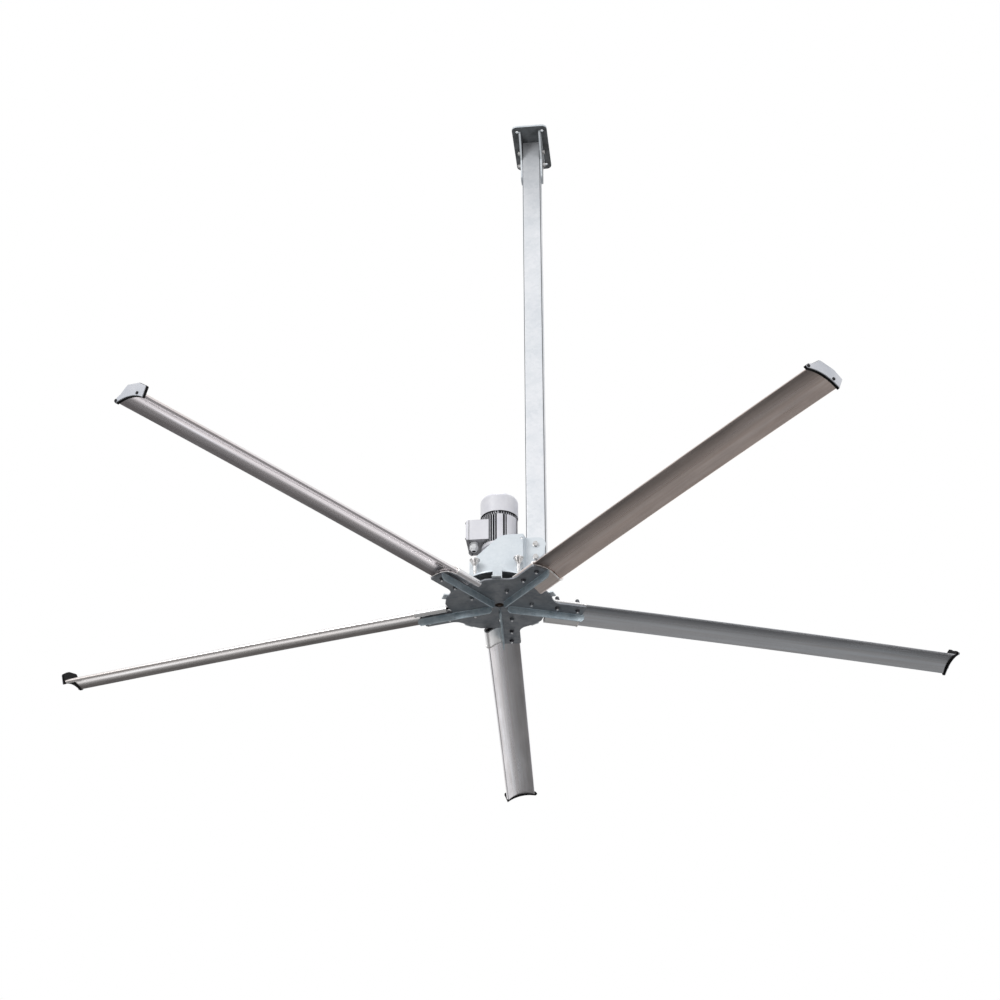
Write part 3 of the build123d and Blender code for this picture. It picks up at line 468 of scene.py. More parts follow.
@dataclass(frozen=True)
class FinnedPaint(Finish):
    """Paint over cast fins, darkened between them by painted shade."""

    dirt_and_shade: str = "15161C"
    unshaded_mm: float = 92.4
    shaded_mm: float = 89.0
    shade_cover: float = 0.92

    def soil_and_shade(self, tree: Tree, place: Socket) -> Socket | None:
        """Painted shade that deepens towards the motor's axis, where the fins have their roots.

        Args:
            tree: The material's node tree.
            place: The position that the pattern is drawn in, in metres.

        Returns:
            The socket that carries the cover.
        """
        from_axis = vector_maths(
            tree, "MULTIPLY_ADD", place, (1.0, 1.0, 0.0), (-FAN_AXIS_X, 0.0, 0.0)
        )
        radius = vector_maths(tree, "LENGTH", from_axis)
        return remap(
            tree, radius, self.shaded_mm * MM, self.unshaded_mm * MM, self.shade_cover, 0.0
        )


@dataclass(frozen=True)
class ExtrudedMetal(Finish):
    """Aluminium pushed through a die: long streaks along its run, with dull oxide clouds."""

    metallic: float = 1.0
    mottle_mm: float = 14.0
    grain_mm: float = 5.0
    heading: float = 0.0
    streak_mm: float = 9.0
    streak_length_mm: float = 900.0
    patch_mm: float = 70.0
    patch_length_mm: float = 420.0
    patches: Pair = (0.42, 0.68)
    band: Triple = (-84.0, -76.0, -56.0)
    band_end: float = 0.0
    band_cover: float = 0.85
    band_thinnest: float = 0.75
    patch_cover: float = 0.3
    grazing: Pair = (0.62, 0.80)
    grazing_cover: float = 0.12
    dirt_and_shade: str = "66625D"
    dirt_and_shade_metallic: float = 0.25
    dirt_and_shade_roughness: float = 0.5
    underside_tint: str = "FFFFFF"
    underside_slope: Pair = (0.1, -0.3)

    def tint(self, tree: Tree, colour: Socket) -> Socket:
        """The colour with a tint multiplied onto the faces that look down.

        Args:
            tree: The material's node tree.
            colour: The bare metal's colour.

        Returns:
            The socket that carries the colour.
        """
        share = remap(tree, axis_part(tree, flat_normal(tree), "Z"), *self.underside_slope)
        return mix_colours(tree, share, colour, linear(self.underside_tint), "MULTIPLY")

    def turned(self, tree: Tree) -> Socket:
        """The position from the fan axis, with x along this piece's own run.

        Args:
            tree: The material's node tree.

        Returns:
            The socket that carries it, in metres.
        """
        moved = vector_maths(tree, "SUBTRACT", object_place(tree), (FAN_AXIS_X, 0.0, HUB_Z))
        inputs = {"Vector": moved, "Angle": -math.radians(self.heading)}
        return add_node(tree, "ShaderNodeVectorRotate", inputs, rotation_type="Z_AXIS").outputs[0]

    def place(self, tree: Tree) -> Socket:
        """The position drawn out along the run, so that patterns turn to streaks.

        Args:
            tree: The material's node tree.

        Returns:
            The socket that carries it, in metres.
        """
        stretch = (self.streak_mm / self.streak_length_mm, 1.0, 1.0)
        return vector_maths(tree, "MULTIPLY", self.turned(tree), stretch)

    def soil_and_shade(self, tree: Tree, place: Socket) -> Socket | None:
        """Dark oxide in a band along the thin trailing side, and in drawn-out patches, thinned as a
        painted sheen where the surface is seen at a flat angle.

        Args:
            tree: The material's node tree.
            place: Not used.

        Returns:
            The socket that carries the cover.
        """
        turned = self.turned(tree)
        across = axis_part(tree, turned, "Y")
        edge, full, fading = (value * MM for value in self.band)
        rise = remap(tree, across, edge, full)
        fall = remap(tree, across, fading, self.band_end * MM, self.band_cover, 0.0)
        band = maths(tree, "MULTIPLY", rise, fall)
        stretch = (self.patch_mm / self.patch_length_mm, 1.0, 1.0)
        drawn_out = vector_maths(tree, "MULTIPLY", turned, stretch)
        noise = add_noise(tree, drawn_out, self.patch_mm, 3.0, 0.55).outputs["Fac"]
        spots = remap(tree, noise, *self.patches, 0.0, self.patch_cover)
        uneven = remap(tree, noise, *NOISE_SPAN, self.band_thinnest, 1.0)
        cover = maths(tree, "MAXIMUM", maths(tree, "MULTIPLY", band, uneven), spots)
        # Painted sheen: where the surface is seen at a flat angle, the oxide cover is thinned so the
        # bare metal shows
        facing = add_node(tree, "ShaderNodeLayerWeight", {"Blend": 0.5}).outputs["Facing"]
        sheen = remap(tree, facing, *self.grazing, 1.0, self.grazing_cover)
        return maths(tree, "MULTIPLY", cover, sheen)


class Finishes:
    """Every finish of the fan, made once and handed out by node."""

    # Each blade's underside tint, oxide colour, where its dull band ends in millimetres
    # from its middle, the band's cover and the patches' cover
    BLADE_SOIL = (
        ("F2F8FF", "4C4F55", 30.0, 0.92, 0.10),
        ("F8FAFF", "6A6668", 66.0, 0.78, 0.18),
        ("FFFFFF", "5A5150", -34.0, 0.78, 0.08),
        ("FCFAFF", "625C5E", -18.0, 0.74, 0.10),
        ("FFF2EC", "544A47", 34.0, 0.90, 0.22),
    )
    # Each sleeve's underside tint
    SLEEVE_UNDERSIDE_TINT = ("FFFFFF", "FBFBFB", "FFFFFF", "FFFDFF", "FBEEE7")

    def __init__(self) -> None:
        """Makes the materials."""
        # Pale zinc skin over square tube: bright, nearly even, soft highlights, with painted shade
        # along its corners and near the ceiling plate
        self.tube_zinc = CornerAndTopShade("hot_dip_zinc_tube", "E6E8EC", "D3D7DC", 0.42).build()
        # Thinner zinc on cut and folded sheet: the same, a little bluer
        self.sheet_zinc = HotDipZinc("hot_dip_zinc_sheet", "D4DADF", "C7CED4", 0.45).build()
        # Painted shade on the faces that look up and down, and on those that look along x
        level = FaceShade((0.0, 0.0, 1.0))
        upright = FaceShade((1.0, 0.0, 0.0))
        # Zinc on the ceiling plate and its cheeks: broad faces darkened by painted shade, cut edges
        # left bright
        self.plate_painted_shade = HotDipZinc(
            "zinc_ceiling_plate_painted_shade", "D9DEE2", "BCC3C9", 0.45, dirt_and_shade="34373A", face_shade=level
        ).build()
        self.cheek_painted_shade = HotDipZinc(
            "zinc_cheek_painted_shade", "E4E8EC", "C8CED4", 0.45, dirt_and_shade="34373A", face_shade=upright
        ).build()
        # Zinc on the round base plate, darkened by painted shade on its faces that look up and down,
        # with its rim left bright
        self.base_painted_shade = HotDipZinc(
            "zinc_base_plate_painted_shade", "DCE3E9", "C4CCD3", 0.45, dirt_and_shade="202224", face_shade=level
        ).build()
        # Zinc on the thick hub plate: a dull blue grey, darkened as painted shade
        self.plate_zinc = HotDipZinc(
            "zinc_hub_plate_painted_shade", "8F9297", "777B82", 0.48, mottle_mm=70.0
        ).build()
        # Weathered zinc on the ribs, brighter than the plate
        self.rib_zinc = HotDipZinc(
            "hot_dip_zinc_bar", "C3CFD6", "9FAFB9", 0.40, 0.7, mottle_mm=60.0
        ).build()
        # Electroplated zinc: smooth and bright on bolts, nuts and washers
        self.bolt_zinc = Finish(
            "electroplated_zinc", "D8D8DA", "A9A7A4", 0.28, 1.0, mottle_mm=14.0
        ).build()
        # Bolts of the hub plate: zinc nearly as dull and dark as the plate round them, darkened as
        # painted shade like the plate
        self.plate_bolts = Finish(
            "zinc_bolt_painted_shade", "8A8E92", "62666B", 0.45, 0.6, mottle_mm=20.0
        ).build()
        # Zinc gone dull and dark on the nuts and washers under the hub
        self.dull_nuts = Finish(
            "dull_zinc_nuts", "6A6B6F", "45464A", 0.5, 0.8, mottle_mm=10.0
        ).build()
        # Freshly cut thread ends, bright
        self.cut_thread = Finish(
            "cut_steel_thread", "F0F0F2", "C9C9CC", 0.25, 1.0, mottle_mm=6.0, grain_mm=1.5
        ).build()
        # Bare steel that has begun to rust: dark brown and dull
        self.rusty_steel = Finish(
            "rusted_bare_steel", "5A4638", "2C2420", 0.65, 0.7, mottle_mm=12.0
        ).build()
        # Blackened steel of the small screws: dark, with a soft sheen
        self.black_screw = Finish("blackened_steel", "1D1D1F", "121213", 0.4, 0.8).build()
        # Ground steel of shafts, gears and bearings: grey and bright
        self.ground_steel = Finish("ground_steel", "A6A6A8", "8C8C8F", 0.3, 1.0).build()
        # Grey iron flange of the hub, machined and lightly oiled
        self.cast_iron = Finish(
            "machined_grey_iron", "7C8083", "5E6265", 0.45, 0.9, mottle_mm=20.0
        ).build()
        # Pressed silicon steel of stator and rotor: mid grey, dull
        self.core_steel = Finish("laminated_silicon_steel", "77787A", "5C5D60", 0.5, 0.9).build()
        # Varnished copper wire of the motor's winding ends: warm brown
        self.copper = Finish(
            "varnished_copper", "A45A2A", "7A3F1D", 0.35, 0.8, mottle_mm=3.0, grain_mm=1.0
        ).build()
        # Fine enamel over cast and pressed aluminium: pale grey, half gloss
        self.motor_paint = Finish(
            "enamel_on_cast_aluminium", "E9E9EE", "D8D8E0", 0.32, mottle_mm=90.0
        ).build()
        # The same enamel on the finned frame, with painted shade between the fins
        self.fin_paint = FinnedPaint(
            "enamel_on_fins_painted_shade", "E9E9EE", "D8D8E0", 0.32, mottle_mm=90.0
        ).build()
        # The same enamel on the terminal box, darker and duller on its faces that look up and down:
        # painted shade
        box_shade = FaceShade((0.0, 0.0, 1.0), 0.8)
        self.box_paint = Finish(
            "enamel_on_box_painted_shade", "ECECF1", "DEDEE5", 0.32, mottle_mm=90.0, dirt_and_shade="4C4A4D", face_shade=box_shade
        ).build()
        # Powder coat over pressed aluminium on the tip plates: pale, smooth, half matt
        self.tip_coat = Finish("powder_coated_aluminium", "CDCED4", "B6BAC2", 0.45, 0.2).build()
        # Vulcanised rubber: black, matt, a little dusty
        self.rubber = Finish(
            "vulcanised_rubber", "1C1D1E", "101011", 0.75, grain_mm=1.5, specular=0.2
        ).build()
        # Injection moulded nylon, deep black, with hardly any sheen
        self.black_nylon = Finish(
            "moulded_black_nylon", "060607", "030304", 0.6, specular=0.12
        ).build()
        # Injection moulded nylon, pale grey
        self.pale_nylon = Finish("moulded_grey_nylon", "E6E7E9", "D6D8DB", 0.40).build()
        # The sleeve mouths: aluminium rubbed bright where it is rounded over
        self.lip_metal = Finish(
            "burnished_aluminium_lip", "F2F0EF", "DAD6D4", 0.28, 1.0, mottle_mm=30.0
        ).build()
        # Extruded aluminium of each blade, streaked along its own run, dull along its tail
        self.blades = [
            ExtrudedMetal(
                f"extruded_aluminium_{index + 1}",
                "F4F3F4",
                "DDD5D1",
                0.16,
                bump_mm=0.0015,
                heading=FIRST_ARM + index * ARM_STEP,
                band_end=reach,
                band_cover=cover,
                patch_cover=patches,
                dirt_and_shade=oxide,
                underside_tint=underside_tint,
            ).build()
            for index, (underside_tint, oxide, reach, cover, patches) in enumerate(self.BLADE_SOIL)
        ]
        # The sleeves round the blade roots: the same metal, cleaner on their outer faces
        self.sleeves = [
            ExtrudedMetal(
                f"extruded_aluminium_sleeve_{index + 1}",
                "F0F0F1",
                "D8D6D6",
                0.30,
                bump_mm=0.01,
                heading=FIRST_ARM + index * ARM_STEP,
                band_cover=0.35,
                patch_cover=0.15,
                underside_tint=underside_tint,
            ).build()
            for index, underside_tint in enumerate(self.SLEEVE_UNDERSIDE_TINT)
        ]


def dress(looks: dict[str, Material]) -> None:
    """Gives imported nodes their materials.

    Args:
        looks: The material of each node, by the node's name.
    """
    for node, material in looks.items():
        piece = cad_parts[node]
        if not piece.material_slots:
            piece.data.materials.append(material)
        for slot in piece.material_slots:
            slot.material = material
        log.info("dressed %s with %s", node, material.name)


def add_object(name: str, data: bpy.types.ID) -> bpy.types.Object:
    """Adds an object to the scene.

    Args:
        name: The object's name.
        data: Its mesh, lamp or camera data.

    Returns:
        The new object.
    """
    item = bpy.data.objects.new(name, data)
    bpy.context.scene.collection.objects.link(item)
    return item


def place_mesh(
    name: str, mesh: Mesh, material: Material, body: Body, smooth: bool = True
) -> None:
    """Turns a finished mesh into a piece that rides on a body.

    Args:
        name: The piece's name.
        mesh: The mesh, in metres in the row's frame. It is freed here.
        material: The piece's material.
        body: The body that it moves with.
        smooth: Whether its faces are shaded smooth.
    """
    bmesh.ops.recalc_face_normals(mesh, faces=mesh.faces)
    data = bpy.data.meshes.new(name)
    mesh.to_mesh(data)
    mesh.free()
    for polygon in data.polygons:
        polygon.use_smooth = smooth
    data.materials.append(material)
    piece = add_object(name, data)
    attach(piece, body.value)
    log.info("built %s on %s", name, body.value)


def add_section(
    mesh: Mesh, centre: Vector, first: Vector, second: Vector, radius: float
) -> list[bmesh.types.BMVert]:
    """Adds the corners of one round section.

    Args:
        mesh: The mesh that it is added to.
        centre: The section's centre.
        first: The direction of its first corner.
        second: The direction that it goes round to.
        radius: Its radius.

    Returns:
        The corners, in order.
    """
    corners = 8
    ring = []
    for corner in range(corners):
        angle = 2 * math.pi * corner / corners
        offset = (first * math.cos(angle) + second * math.sin(angle)) * radius
        ring.append(mesh.verts.new(centre + offset))
    return ring


def join_rings(mesh: Mesh, rings: Sequence[list[bmesh.types.BMVert]], closed: bool) -> None:
    """Joins each ring of corners to the next by four-sided faces.

    Args:
        mesh: The mesh that the faces are added to.
        rings: The rings, in order, with the same number of corners each.
        closed: Whether the last ring joins the first. Otherwise both ends are capped.
    """
    onward = list(rings[1:])
    if closed:
        onward.append(rings[0])
    for first, second in zip(rings, onward):
        for corner in range(len(first)):
            after = (corner + 1) % len(first)
            mesh.faces.new((first[corner], first[after], second[after], second[corner]))
    if not closed:
        mesh.faces.new(rings[0])
        mesh.faces.new(list(reversed(rings[-1])))


def add_bead(mesh: Mesh, start: Vector, end: Vector, radius: float, ripple: float) -> None:
    """Adds one straight weld bead with the ripples of its passes.

    Args:
        mesh: The mesh that it is added to.
        start: The bead's start.
        end: The bead's end.
        radius: Half its width.
        ripple: The distance between two ripples.
    """
    hollow = 0.8
    tip = 0.35
    tip_slope = 6.0
    along = (end - start).normalized()
    side = along.orthogonal().normalized()
    length = (end - start).length
    steps = max(4, int(length / ripple) * 2)
    rings = []
    for step in range(steps + 1):
        share = step / steps
        swell = 1.0 if step % 2 else hollow
        taper = min(1.0, tip + tip_slope * min(share, 1 - share))
        centre = start + along * (length * share)
        rings.append(add_section(mesh, centre, side, along.cross(side), radius * swell * taper))
    join_rings(mesh, rings, closed=False)


def add_loop(mesh: Mesh, points: Sequence[Vector], radius: float) -> None:
    """Adds a round cord along a closed loop of points.

    Args:
        mesh: The mesh that it is added to.
        points: The loop's points, in order.
        radius: The cord's radius.
    """
    count = len(points)
    middle = sum(points, Vector()) / count
    rings = []
    for place, point in enumerate(points):
        along = (points[(place + 1) % count] - points[place - 1]).normalized()
        out = point - middle
        out = (out - along * out.dot(along)).normalized()
        rings.append(add_section(mesh, point, out, along.cross(out), radius))
    join_rings(mesh, rings, closed=True)


def add_lathe(mesh: Mesh, base: Vector, profile: Sequence[Pair], steps: int = 40) -> None:
    """Adds a ring turned about an upright axis from a closed profile.

    Args:
        mesh: The mesh that it is added to.
        base: The axis's foot.
        profile: Radius and height of each corner of the closed profile.
        steps: How many steps go round.
    """
    rings = []
    for step in range(steps):
        angle = 2 * math.pi * step / steps
        way = Vector((math.cos(angle), math.sin(angle), 0.0))
        corners = [base + way * radius + Vector((0, 0, z)) for radius, z in profile]
        rings.append([mesh.verts.new(corner) for corner in corners])
    join_rings(mesh, rings, closed=True)


def add_thread(mesh: Mesh, top: Vector, radius: float, length: float, pitch: float) -> None:
    """Adds a threaded end that hangs down from a point, with a real helix cut into it.

    Args:
        mesh: The mesh that it is added to.
        top: The centre of its upper end.
        radius: The thread's outer radius.
        length: How far it hangs down.
        pitch: The distance from crest to crest.
    """
    columns = 20
    rows_per_turn = 6
    depth = 0.55 * pitch
    rows = max(rows_per_turn, int(rows_per_turn * length / pitch))
    rings = []
    for row in range(rows + 1):
        drop = length * row / rows
        taper = depth if row == rows else 0.0
        ring = []
        for column in range(columns):
            turn = column / columns
            phase = (drop / pitch + turn) % 1.0
            size = radius - depth * abs(2 * phase - 1) - taper
            angle = 2 * math.pi * turn
            offset = Vector((size * math.cos(angle), size * math.sin(angle), -drop))
            ring.append(mesh.verts.new(top + offset))
        rings.append(ring)
    join_rings(mesh, rings, closed=False)


def add_web(mesh: Mesh, angle: float, outline: Sequence[Pair], width: float) -> None:
    """Adds a thin upright web that stands out from the fan axis.

    Args:
        mesh: The mesh that it is added to.
        angle: Its direction about the fan axis, in degrees.
        outline: Radius and height over the hub of each corner, in millimetres.
        width: Its thickness, in millimetres.
    """
    turn = math.radians(angle)
    out = Vector((math.cos(turn), math.sin(turn), 0.0))
    side = Vector((-math.sin(turn), math.cos(turn), 0.0))
    foot = Vector((FAN_AXIS_X, 0.0, HUB_Z))
    sheets = []
    for half in (-0.5, 0.5):
        flat = foot + side * (width * half * MM)
        corners = [flat + out * (radius * MM) + Vector((0, 0, z * MM)) for radius, z in outline]
        sheets.append([mesh.verts.new(corner) for corner in corners])
    join_rings(mesh, sheets, closed=False)


def rim_loops(node: str, point: Vector, normal: Vector) -> list[list[Vector]]:
    """Finds the closed outlines of a node's flat end.

    Args:
        node: The node's name.
        point: A point on the end's plane.
        normal: The plane's normal.

    Returns:
        Each outline as points in order, the longest first.
    """
    merge_within = 1e-6
    flat_within = 2e-5
    mesh = bmesh.new()
    mesh.from_mesh(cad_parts[node].data)
    bmesh.ops.remove_doubles(mesh, verts=mesh.verts, dist=merge_within)

    def flat(item: bmesh.types.BMEdge | bmesh.types.BMFace) -> bool:
        """Whether every corner of an edge or face lies on the plane."""
        return all(abs((vert.co - point).dot(normal)) < flat_within for vert in item.verts)

    def length(loop: list[Vector]) -> float:
        """How long a closed outline is."""
        return sum((loop[i] - loop[i - 1]).length for i in range(len(loop)))

    links: dict[int, list[int]] = {}
    places: dict[int, Vector] = {}
    for edge in mesh.edges:
        if flat(edge) and sum(flat(face) for face in edge.link_faces) == 1:
            first, second = edge.verts
            links.setdefault(first.index, []).append(second.index)
            links.setdefault(second.index, []).append(first.index)
            places[first.index] = first.co.copy()
            places[second.index] = second.co.copy()
    mesh.free()
    loops = []
    while links:
        here = next(iter(links))
        loop = [places[here]]
        while True:
            onward = [other for other in links.pop(here, []) if other in links]
            if not onward:
                break
            here = onward[0]
            loop.append(places[here])
        loops.append(loop)
    return sorted(loops, key=length, reverse=True)


def even_loop(points: Sequence[Vector], count: int) -> list[Vector]:
    """Lays evenly spaced points round a closed outline.

    Args:
        points: The outline's corners, in order.
        count: How many points to lay.

    Returns:
        The evenly spaced points.
    """
    spans = [(points[(i + 1) % len(points)] - points[i]).length for i in range(len(points))]
    step = sum(spans) / count
    laid = []
    place, left = 0, 0.0
    for number in range(count):
        target = number * step
        while place < len(points) - 1 and left + spans[place] < target:
            left += spans[place]
            place += 1
        share = (target - left) / spans[place] if spans[place] else 0.0
        laid.append(points[place].lerp(points[(place + 1) % len(points)], min(1.0, share)))
    return laid


def arm_point(index: int, along: float, across: float, height: float) -> Vector:
    """A point beside one arm of the hub, from sizes in millimetres.

    Args:
        index: The arm's number, from zero.
        along: Distance from the fan axis along the arm.
        across: Distance to the leading side of the arm's middle.
        height: Height over the star plate's underside.

    Returns:
        The point in the row's frame, in metres.
    """
    turn = math.radians(FIRST_ARM + index * ARM_STEP)
    x = along * math.cos(turn) - across * math.sin(turn)
    y = along * math.sin(turn) + across * math.cos(turn)
    return Vector((FAN_AXIS_X + x * MM, y * MM, HUB_Z + height * MM))


# The assemblies below give their sizes in millimetres, and the studio in metres


@dataclass
class Hanger:
    """Ceiling plate, cheeks, down tube and their bolts."""

    finishes: Finishes
    cheek_inner: float = 50.0
    cheek: float = 10.0
    cheek_half: float = 146.0
    plate_under: float = -10.0
    bead: float = 3.0
    ripple: float = 6.0

    def build(self) -> None:
        """Dresses the hanger and adds its welds."""
        looks = self.finishes
        dress(
            {
                "ceiling_plate": looks.plate_painted_shade,
                "hanger_cheek_left": looks.cheek_painted_shade,
                "hanger_cheek_right": looks.cheek_painted_shade,
                "down_tube": looks.tube_zinc,
                "through_bolts": looks.bolt_zinc,
            }
        )
        mesh = bmesh.new()
        reach = Vector((0.0, self.cheek_half * MM, 0.0))
        for side in (-1, 1):
            x = side * (self.cheek_inner + self.cheek) * MM
            middle = Vector((x, 0.0, self.plate_under * MM))
            add_bead(mesh, middle - reach, middle + reach, self.bead * MM, self.ripple * MM)
        place_mesh("cheek_welds", mesh, looks.sheet_zinc, Body.HANGER)


@dataclass
class MotorBracket:
    """Folded sheets, base plate, flared mounting bushes and their bolts."""

    finishes: Finishes

    def build(self) -> None:
        """Dresses the bracket."""
        looks = self.finishes
        dress(
            {
                "bracket_front_sheet": looks.sheet_zinc,
                "bracket_rear_sheet": looks.sheet_zinc,
                "base_plate": looks.base_painted_shade,
                "mount_bushes": looks.bolt_zinc,
                "mount_bolts": looks.bolt_zinc,
            }
        )


@dataclass
class Gearmotor:
    """Motor, gearbox and terminal box, with what turns inside them."""

    finishes: Finishes
    web_count: int = 44
    web_width: float = 2.6
    web_outline: Sequence[Pair] = (
        (83.0, 472.5),
        (91.5, 472.5),
        (91.5, 483.0),
        (88.5, 489.0),
        (83.0, 489.0),
    )
    tab_turn: float = -93.0
    tab_step: float = 90.0
    tab_keep: float = 7.0
    joint_out: float = 144.6
    joint_heights: Pair = (329.2, 443.8)
    joint_sides: Pair = (-90.8, 76.8)
    gasket: float = 1.3
    gasket_steps: int = 72
    gland_place: Pair = (-123.0, -48.0)
    grip_at: float = 16.0
    grip_radius: float = 0.9
    grip_ripple: float = 20.0
    grip_heights: Pair = (297.0, 313.0)
    grip_count: int = 18
    seal_profile: Sequence[Pair] = ((3.0, 287.0), (9.3, 285.4), (9.3, 296.0), (3.0, 294.0))

    def build(self) -> None:
        """Dresses the gearmotor and adds its webs, gasket and gland details."""
        looks = self.finishes
        dress(
            {
                "gearbox_housing": looks.motor_paint,
                "bearing_bridge": looks.motor_paint,
                "motor_adapter": looks.motor_paint,
                "fan_cowl": looks.motor_paint,
                "motor_frame": looks.fin_paint,
                "motor_end_shield": looks.fin_paint,
                "terminal_box": looks.box_paint,
                "terminal_lid": looks.box_paint,
                "gearbox_screws": looks.bolt_zinc,
                "gearbox_bearings": looks.ground_steel,
                "output_seal": looks.rubber,
                "stator_core": looks.core_steel,
                "stator_windings": looks.copper,
                "motor_bearings": looks.ground_steel,
                "motor_screws": looks.black_screw,
                "cable_gland": looks.pale_nylon,
                "motor_shaft": looks.ground_steel,
                "rotor_core": looks.core_steel,
                "cooling_fan": looks.black_nylon,
                "layshaft": looks.ground_steel,
                "output_shaft": looks.ground_steel,
                "output_gear": looks.ground_steel,
            }
        )
        self.shield_webs()
        self.lid_gasket()
        self.gland_grip()
        self.gland_seal()

    def shield_webs(self) -> None:
        """Cooling webs on the upper end shield, between the cowl's four tabs."""
        mesh = bmesh.new()
        half = self.tab_step / 2
        for number in range(self.web_count):
            angle = (number + 0.5) * 360.0 / self.web_count
            from_tab = abs((angle - self.tab_turn + half) % self.tab_step - half)
            if from_tab > self.tab_keep:
                add_web(mesh, angle, self.web_outline, self.web_width)
        place_mesh(
            "shield_webs", mesh, self.finishes.fin_paint, Body.HANGER, smooth=False
        )

    def lid_gasket(self) -> None:
        """The rubber cord in the joint between terminal box and lid."""
        (low, high), (left, right) = self.joint_heights, self.joint_sides
        outline = [
            Vector((FAN_AXIS_X - self.joint_out * MM, side * MM, HUB_Z + height * MM))
            for side, height in ((left, low), (right, low), (right, high), (left, high))
        ]
        mesh = bmesh.new()
        add_loop(mesh, even_loop(outline, self.gasket_steps), self.gasket * MM)
        place_mesh("lid_gasket", mesh, self.finishes.rubber, Body.HANGER)

    def gland_foot(self) -> Vector:
        """The foot of the gland's axis, at the hub's height.

        Returns:
            The point in the row's frame, in metres.
        """
        x, y = self.gland_place
        return Vector((FAN_AXIS_X + x * MM, y * MM, HUB_Z))

    def gland_grip(self) -> None:
        """Grip ribs round the gland's clamp nut, each a short bead."""
        mesh = bmesh.new()
        low, high = self.grip_heights
        for number in range(self.grip_count):
            angle = 2 * math.pi * number / self.grip_count
            way = Vector((math.cos(angle), math.sin(angle), 0.0))
            foot = self.gland_foot() + way * (self.grip_at * MM)
            start = foot + Vector((0, 0, low * MM))
            end = foot + Vector((0, 0, high * MM))
            add_bead(mesh, start, end, self.grip_radius * MM, self.grip_ripple * MM)
        place_mesh("gland_grip", mesh, self.finishes.pale_nylon, Body.HANGER)

    def gland_seal(self) -> None:
        """The rubber ring in the gland's mouth."""
        mesh = bmesh.new()
        profile = [(radius * MM, z * MM) for radius, z in self.seal_profile]
        add_lathe(mesh, self.gland_foot(), profile)
        place_mesh("gland_seal", mesh, self.finishes.rubber, Body.HANGER)


@dataclass
class Hub:
    """Star plate, ribs, clips, boss and the bolts that hold the blades."""

    finishes: Finishes
    rib_start: float = 42.0
    rib_end: float = 436.0
    rib_half: float = 3.0
    bead: float = 1.8
    ripple: float = 5.0
    bolts_at: Sequence[Pair] = ((149.0, -54.0), (284.0, -47.0), (390.0, -42.0))
    head_under: float = -10.3
    thread: float = 5.6
    thread_end: float = 4.5
    pitch: float = 1.75

    def build(self) -> None:
        """Dresses the hub and adds its rib welds and thread ends."""
        looks = self.finishes
        dress(
            {
                "star_plate": looks.plate_zinc,
                "hub_ribs": looks.rib_zinc,
                "retaining_clips": looks.sheet_zinc,
                "hub_boss": looks.cast_iron,
                "hub_bolts": looks.plate_bolts,
                "blade_bolts": looks.dull_nuts,
                "shaft_end_bolt": looks.rusty_steel,
            }
        )
        self.rib_welds()
        self.thread_ends()

    def rib_welds(self) -> None:
        """A weld bead along each foot of every rib."""
        mesh = bmesh.new()
        for index in range(ARM_COUNT):
            for side in (-self.rib_half, self.rib_half):
                start = arm_point(index, self.rib_start, side, 0.0)
                end = arm_point(index, self.rib_end, side, 0.0)
                add_bead(mesh, start, end, self.bead * MM, self.ripple * MM)
        place_mesh("rib_welds", mesh, self.finishes.rib_zinc, Body.FAN)

    def thread_ends(self) -> None:
        """The threaded ends that stand out under the star plate's bolts."""
        mesh = bmesh.new()
        for index in range(ARM_COUNT):
            for along, across in self.bolts_at:
                top = arm_point(index, along, across, self.head_under)
                add_thread(mesh, top, self.thread * MM, self.thread_end * MM, self.pitch * MM)
        place_mesh("thread_ends", mesh, self.finishes.cut_thread, Body.FAN)


@dataclass
class FanBlade:
    """One blade with its sleeve, tip cap and tip plate."""

    finishes: Finishes
    index: int
    sleeve_end: float = 420.0
    lip: float = 4.6
    lip_inset: float = 0.2
    lip_steps: int = 120
    inner_steps: int = 400

    def build(self) -> None:
        """Dresses the blade's pieces and adds its sleeve's lip."""
        looks = self.finishes
        number = self.index + 1
        dress(
            {
                f"blade_sleeve_{number}": looks.sleeves[self.index],
                f"blade_{number}": looks.blades[self.index],
                f"tip_cap_{number}": looks.black_nylon,
                f"winglet_{number}": looks.tip_coat,
            }
        )
        self.sleeve_lip(number)

    def sleeve_lip(self, number: int) -> None:
        """The rounded lip that is rolled outward round the sleeve's outer mouth.

        Args:
            number: The blade's number, from one.
        """
        mouth = arm_point(self.index, self.sleeve_end, 0.0, 0.0)
        run = (mouth - arm_point(self.index, 0.0, 0.0, 0.0)).normalized()
        outer, inner = rim_loops(f"blade_sleeve_{number}", mouth, run)[:2]
        inside = even_loop(inner, self.inner_steps)
        middle = []
        for point in even_loop(outer, self.lip_steps):
            nearest = min(inside, key=lambda other: (other - point).length)
            middle.append(point.lerp(nearest, self.lip_inset))
        mesh = bmesh.new()
        add_loop(mesh, middle, self.lip * MM)
        name = f"sleeve_lip_{number}"
        place_mesh(name, mesh, self.finishes.lip_metal, Body.FAN)


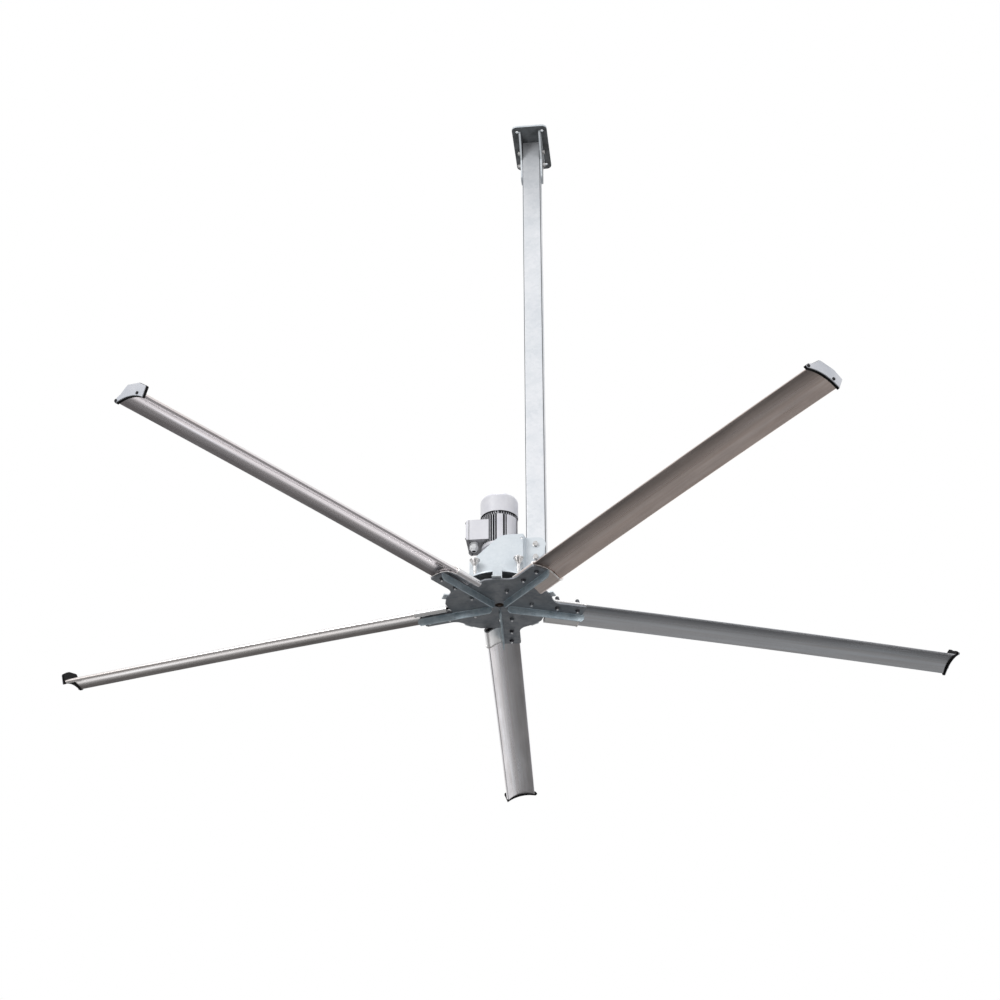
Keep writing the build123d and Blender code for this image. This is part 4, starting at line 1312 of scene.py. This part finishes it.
@dataclass
class Studio:
    """Floor, plain lamps, white surround and the photograph's camera."""

    camera_place: Triple = (0.746, -8.922, -7.612)
    camera_heading: float = 5.96
    camera_pitch: float = 30.59
    camera_roll: float = 0.14
    lens_mm: float = 73.64
    sensor_mm: float = 36.0
    sight: float = 200.0
    floor_z: float = -9.2
    floor_radius: float = 24.0
    floor_solid: float = 13.0
    floor_corners: int = 96
    floor_colour: str = "A8A8A7"
    ambient: float = 0.45
    lamps_aim: Triple = (FAN_AXIS_X, 0.0, -2.4)

    def camera(self) -> None:
        """Sets the camera at the photograph's place and angle."""
        data = bpy.data.cameras.new("camera")
        data.sensor_width = self.sensor_mm
        data.sensor_fit = "HORIZONTAL"
        data.lens = self.lens_mm
        data.clip_end = self.sight
        eye = add_object("camera", data)
        turn = Euler((math.radians(90 + self.camera_pitch), 0.0, math.radians(self.camera_heading)))
        roll = Matrix.Rotation(-math.radians(self.camera_roll), 4, "Z")
        eye.matrix_world = Matrix.Translation(self.camera_place) @ turn.to_matrix().to_4x4() @ roll
        bpy.context.scene.camera = eye

    def floor_material(self) -> Material:
        """A plain matt material that fades out far off and is clear from below.

        Returns:
            The floor's material.
        """
        material = bpy.data.materials.new("pale_floor")
        tree = empty_tree(material)
        diffuse = add_node(tree, "ShaderNodeBsdfDiffuse", {"Color": linear(self.floor_colour)})
        clear = add_node(tree, "ShaderNodeBsdfTransparent")
        below = add_node(tree, "ShaderNodeNewGeometry").outputs["Backfacing"]
        flat = vector_maths(tree, "MULTIPLY", object_place(tree), (1.0, 1.0, 0.0))
        radius = vector_maths(tree, "LENGTH", flat)
        far = remap(tree, radius, self.floor_solid, self.floor_radius)
        share = maths(tree, "MAXIMUM", below, far)
        mix = add_node(
            tree, "ShaderNodeMixShader", {0: share, 1: diffuse.outputs[0], 2: clear.outputs[0]}
        )
        add_node(tree, "ShaderNodeOutputMaterial", {"Surface": mix.outputs[0]})
        return material

    def floor(self) -> None:
        """Lays the plain pale round floor."""
        mesh = bmesh.new()
        bmesh.ops.create_circle(
            mesh, cap_ends=True, radius=self.floor_radius, segments=self.floor_corners
        )
        bmesh.ops.translate(mesh, verts=mesh.verts, vec=(0.0, 0.0, self.floor_z))
        data = bpy.data.meshes.new("floor")
        mesh.to_mesh(data)
        mesh.free()
        data.materials.append(self.floor_material())
        floor = add_object("floor", data)

    def surround(self) -> None:
        """A white world to the eye and in reflections, softer as light."""
        world = bpy.data.worlds.new("surround")
        bpy.context.scene.world = world
        tree = empty_tree(world)
        rays = add_node(tree, "ShaderNodeLightPath").outputs
        seen = maths(tree, "MAXIMUM", rays["Is Camera Ray"], rays["Is Glossy Ray"])
        any_seen = maths(tree, "MAXIMUM", seen, rays["Is Transmission Ray"])
        strength = remap(tree, any_seen, 0.0, 1.0, self.ambient, 1.0)
        white = add_node(
            tree, "ShaderNodeBackground", {"Color": (1.0, 1.0, 1.0, 1.0), "Strength": strength}
        )
        add_node(tree, "ShaderNodeOutputWorld", {"Surface": white.outputs[0]})

    def lamps(self) -> None:
        """Three large soft lamps: a key from the front left, a fill and one from above."""
        for name, place, size, power in (
            ("key", (-7.0, -9.0, 0.5), 5.0, 620.0),
            ("fill", (8.0, -6.0, -1.0), 5.0, 250.0),
            ("top", (FAN_AXIS_X, 0.0, 6.0), 3.0, 420.0),
        ):
            data = bpy.data.lights.new(name, "AREA")
            data.shape = "SQUARE"
            data.size = size
            data.energy = power
            lamp = add_object(name, data)
            lamp.location = place
            view = Vector(self.lamps_aim) - Vector(place)
            lamp.rotation_euler = view.to_track_quat("-Z", "Y").to_euler()

    def build(self) -> None:
        """Sets up camera, floor, lamps and surround."""
        bpy.context.scene.view_settings.view_transform = "Standard"
        self.camera()
        self.floor()
        self.surround()
        self.lamps()


def main() -> None:
    """Builds the scene, piece by piece."""
    logging.basicConfig(level=logging.INFO, format="%(name)s: %(message)s")
    Studio().build()
    finishes = Finishes()
    Hanger(finishes).build()
    MotorBracket(finishes).build()
    Gearmotor(finishes).build()
    Hub(finishes).build()
    for index in range(ARM_COUNT):
        FanBlade(finishes, index).build()
    dress({"cap_screws": finishes.black_screw})


if __name__ == "__main__":
    main()
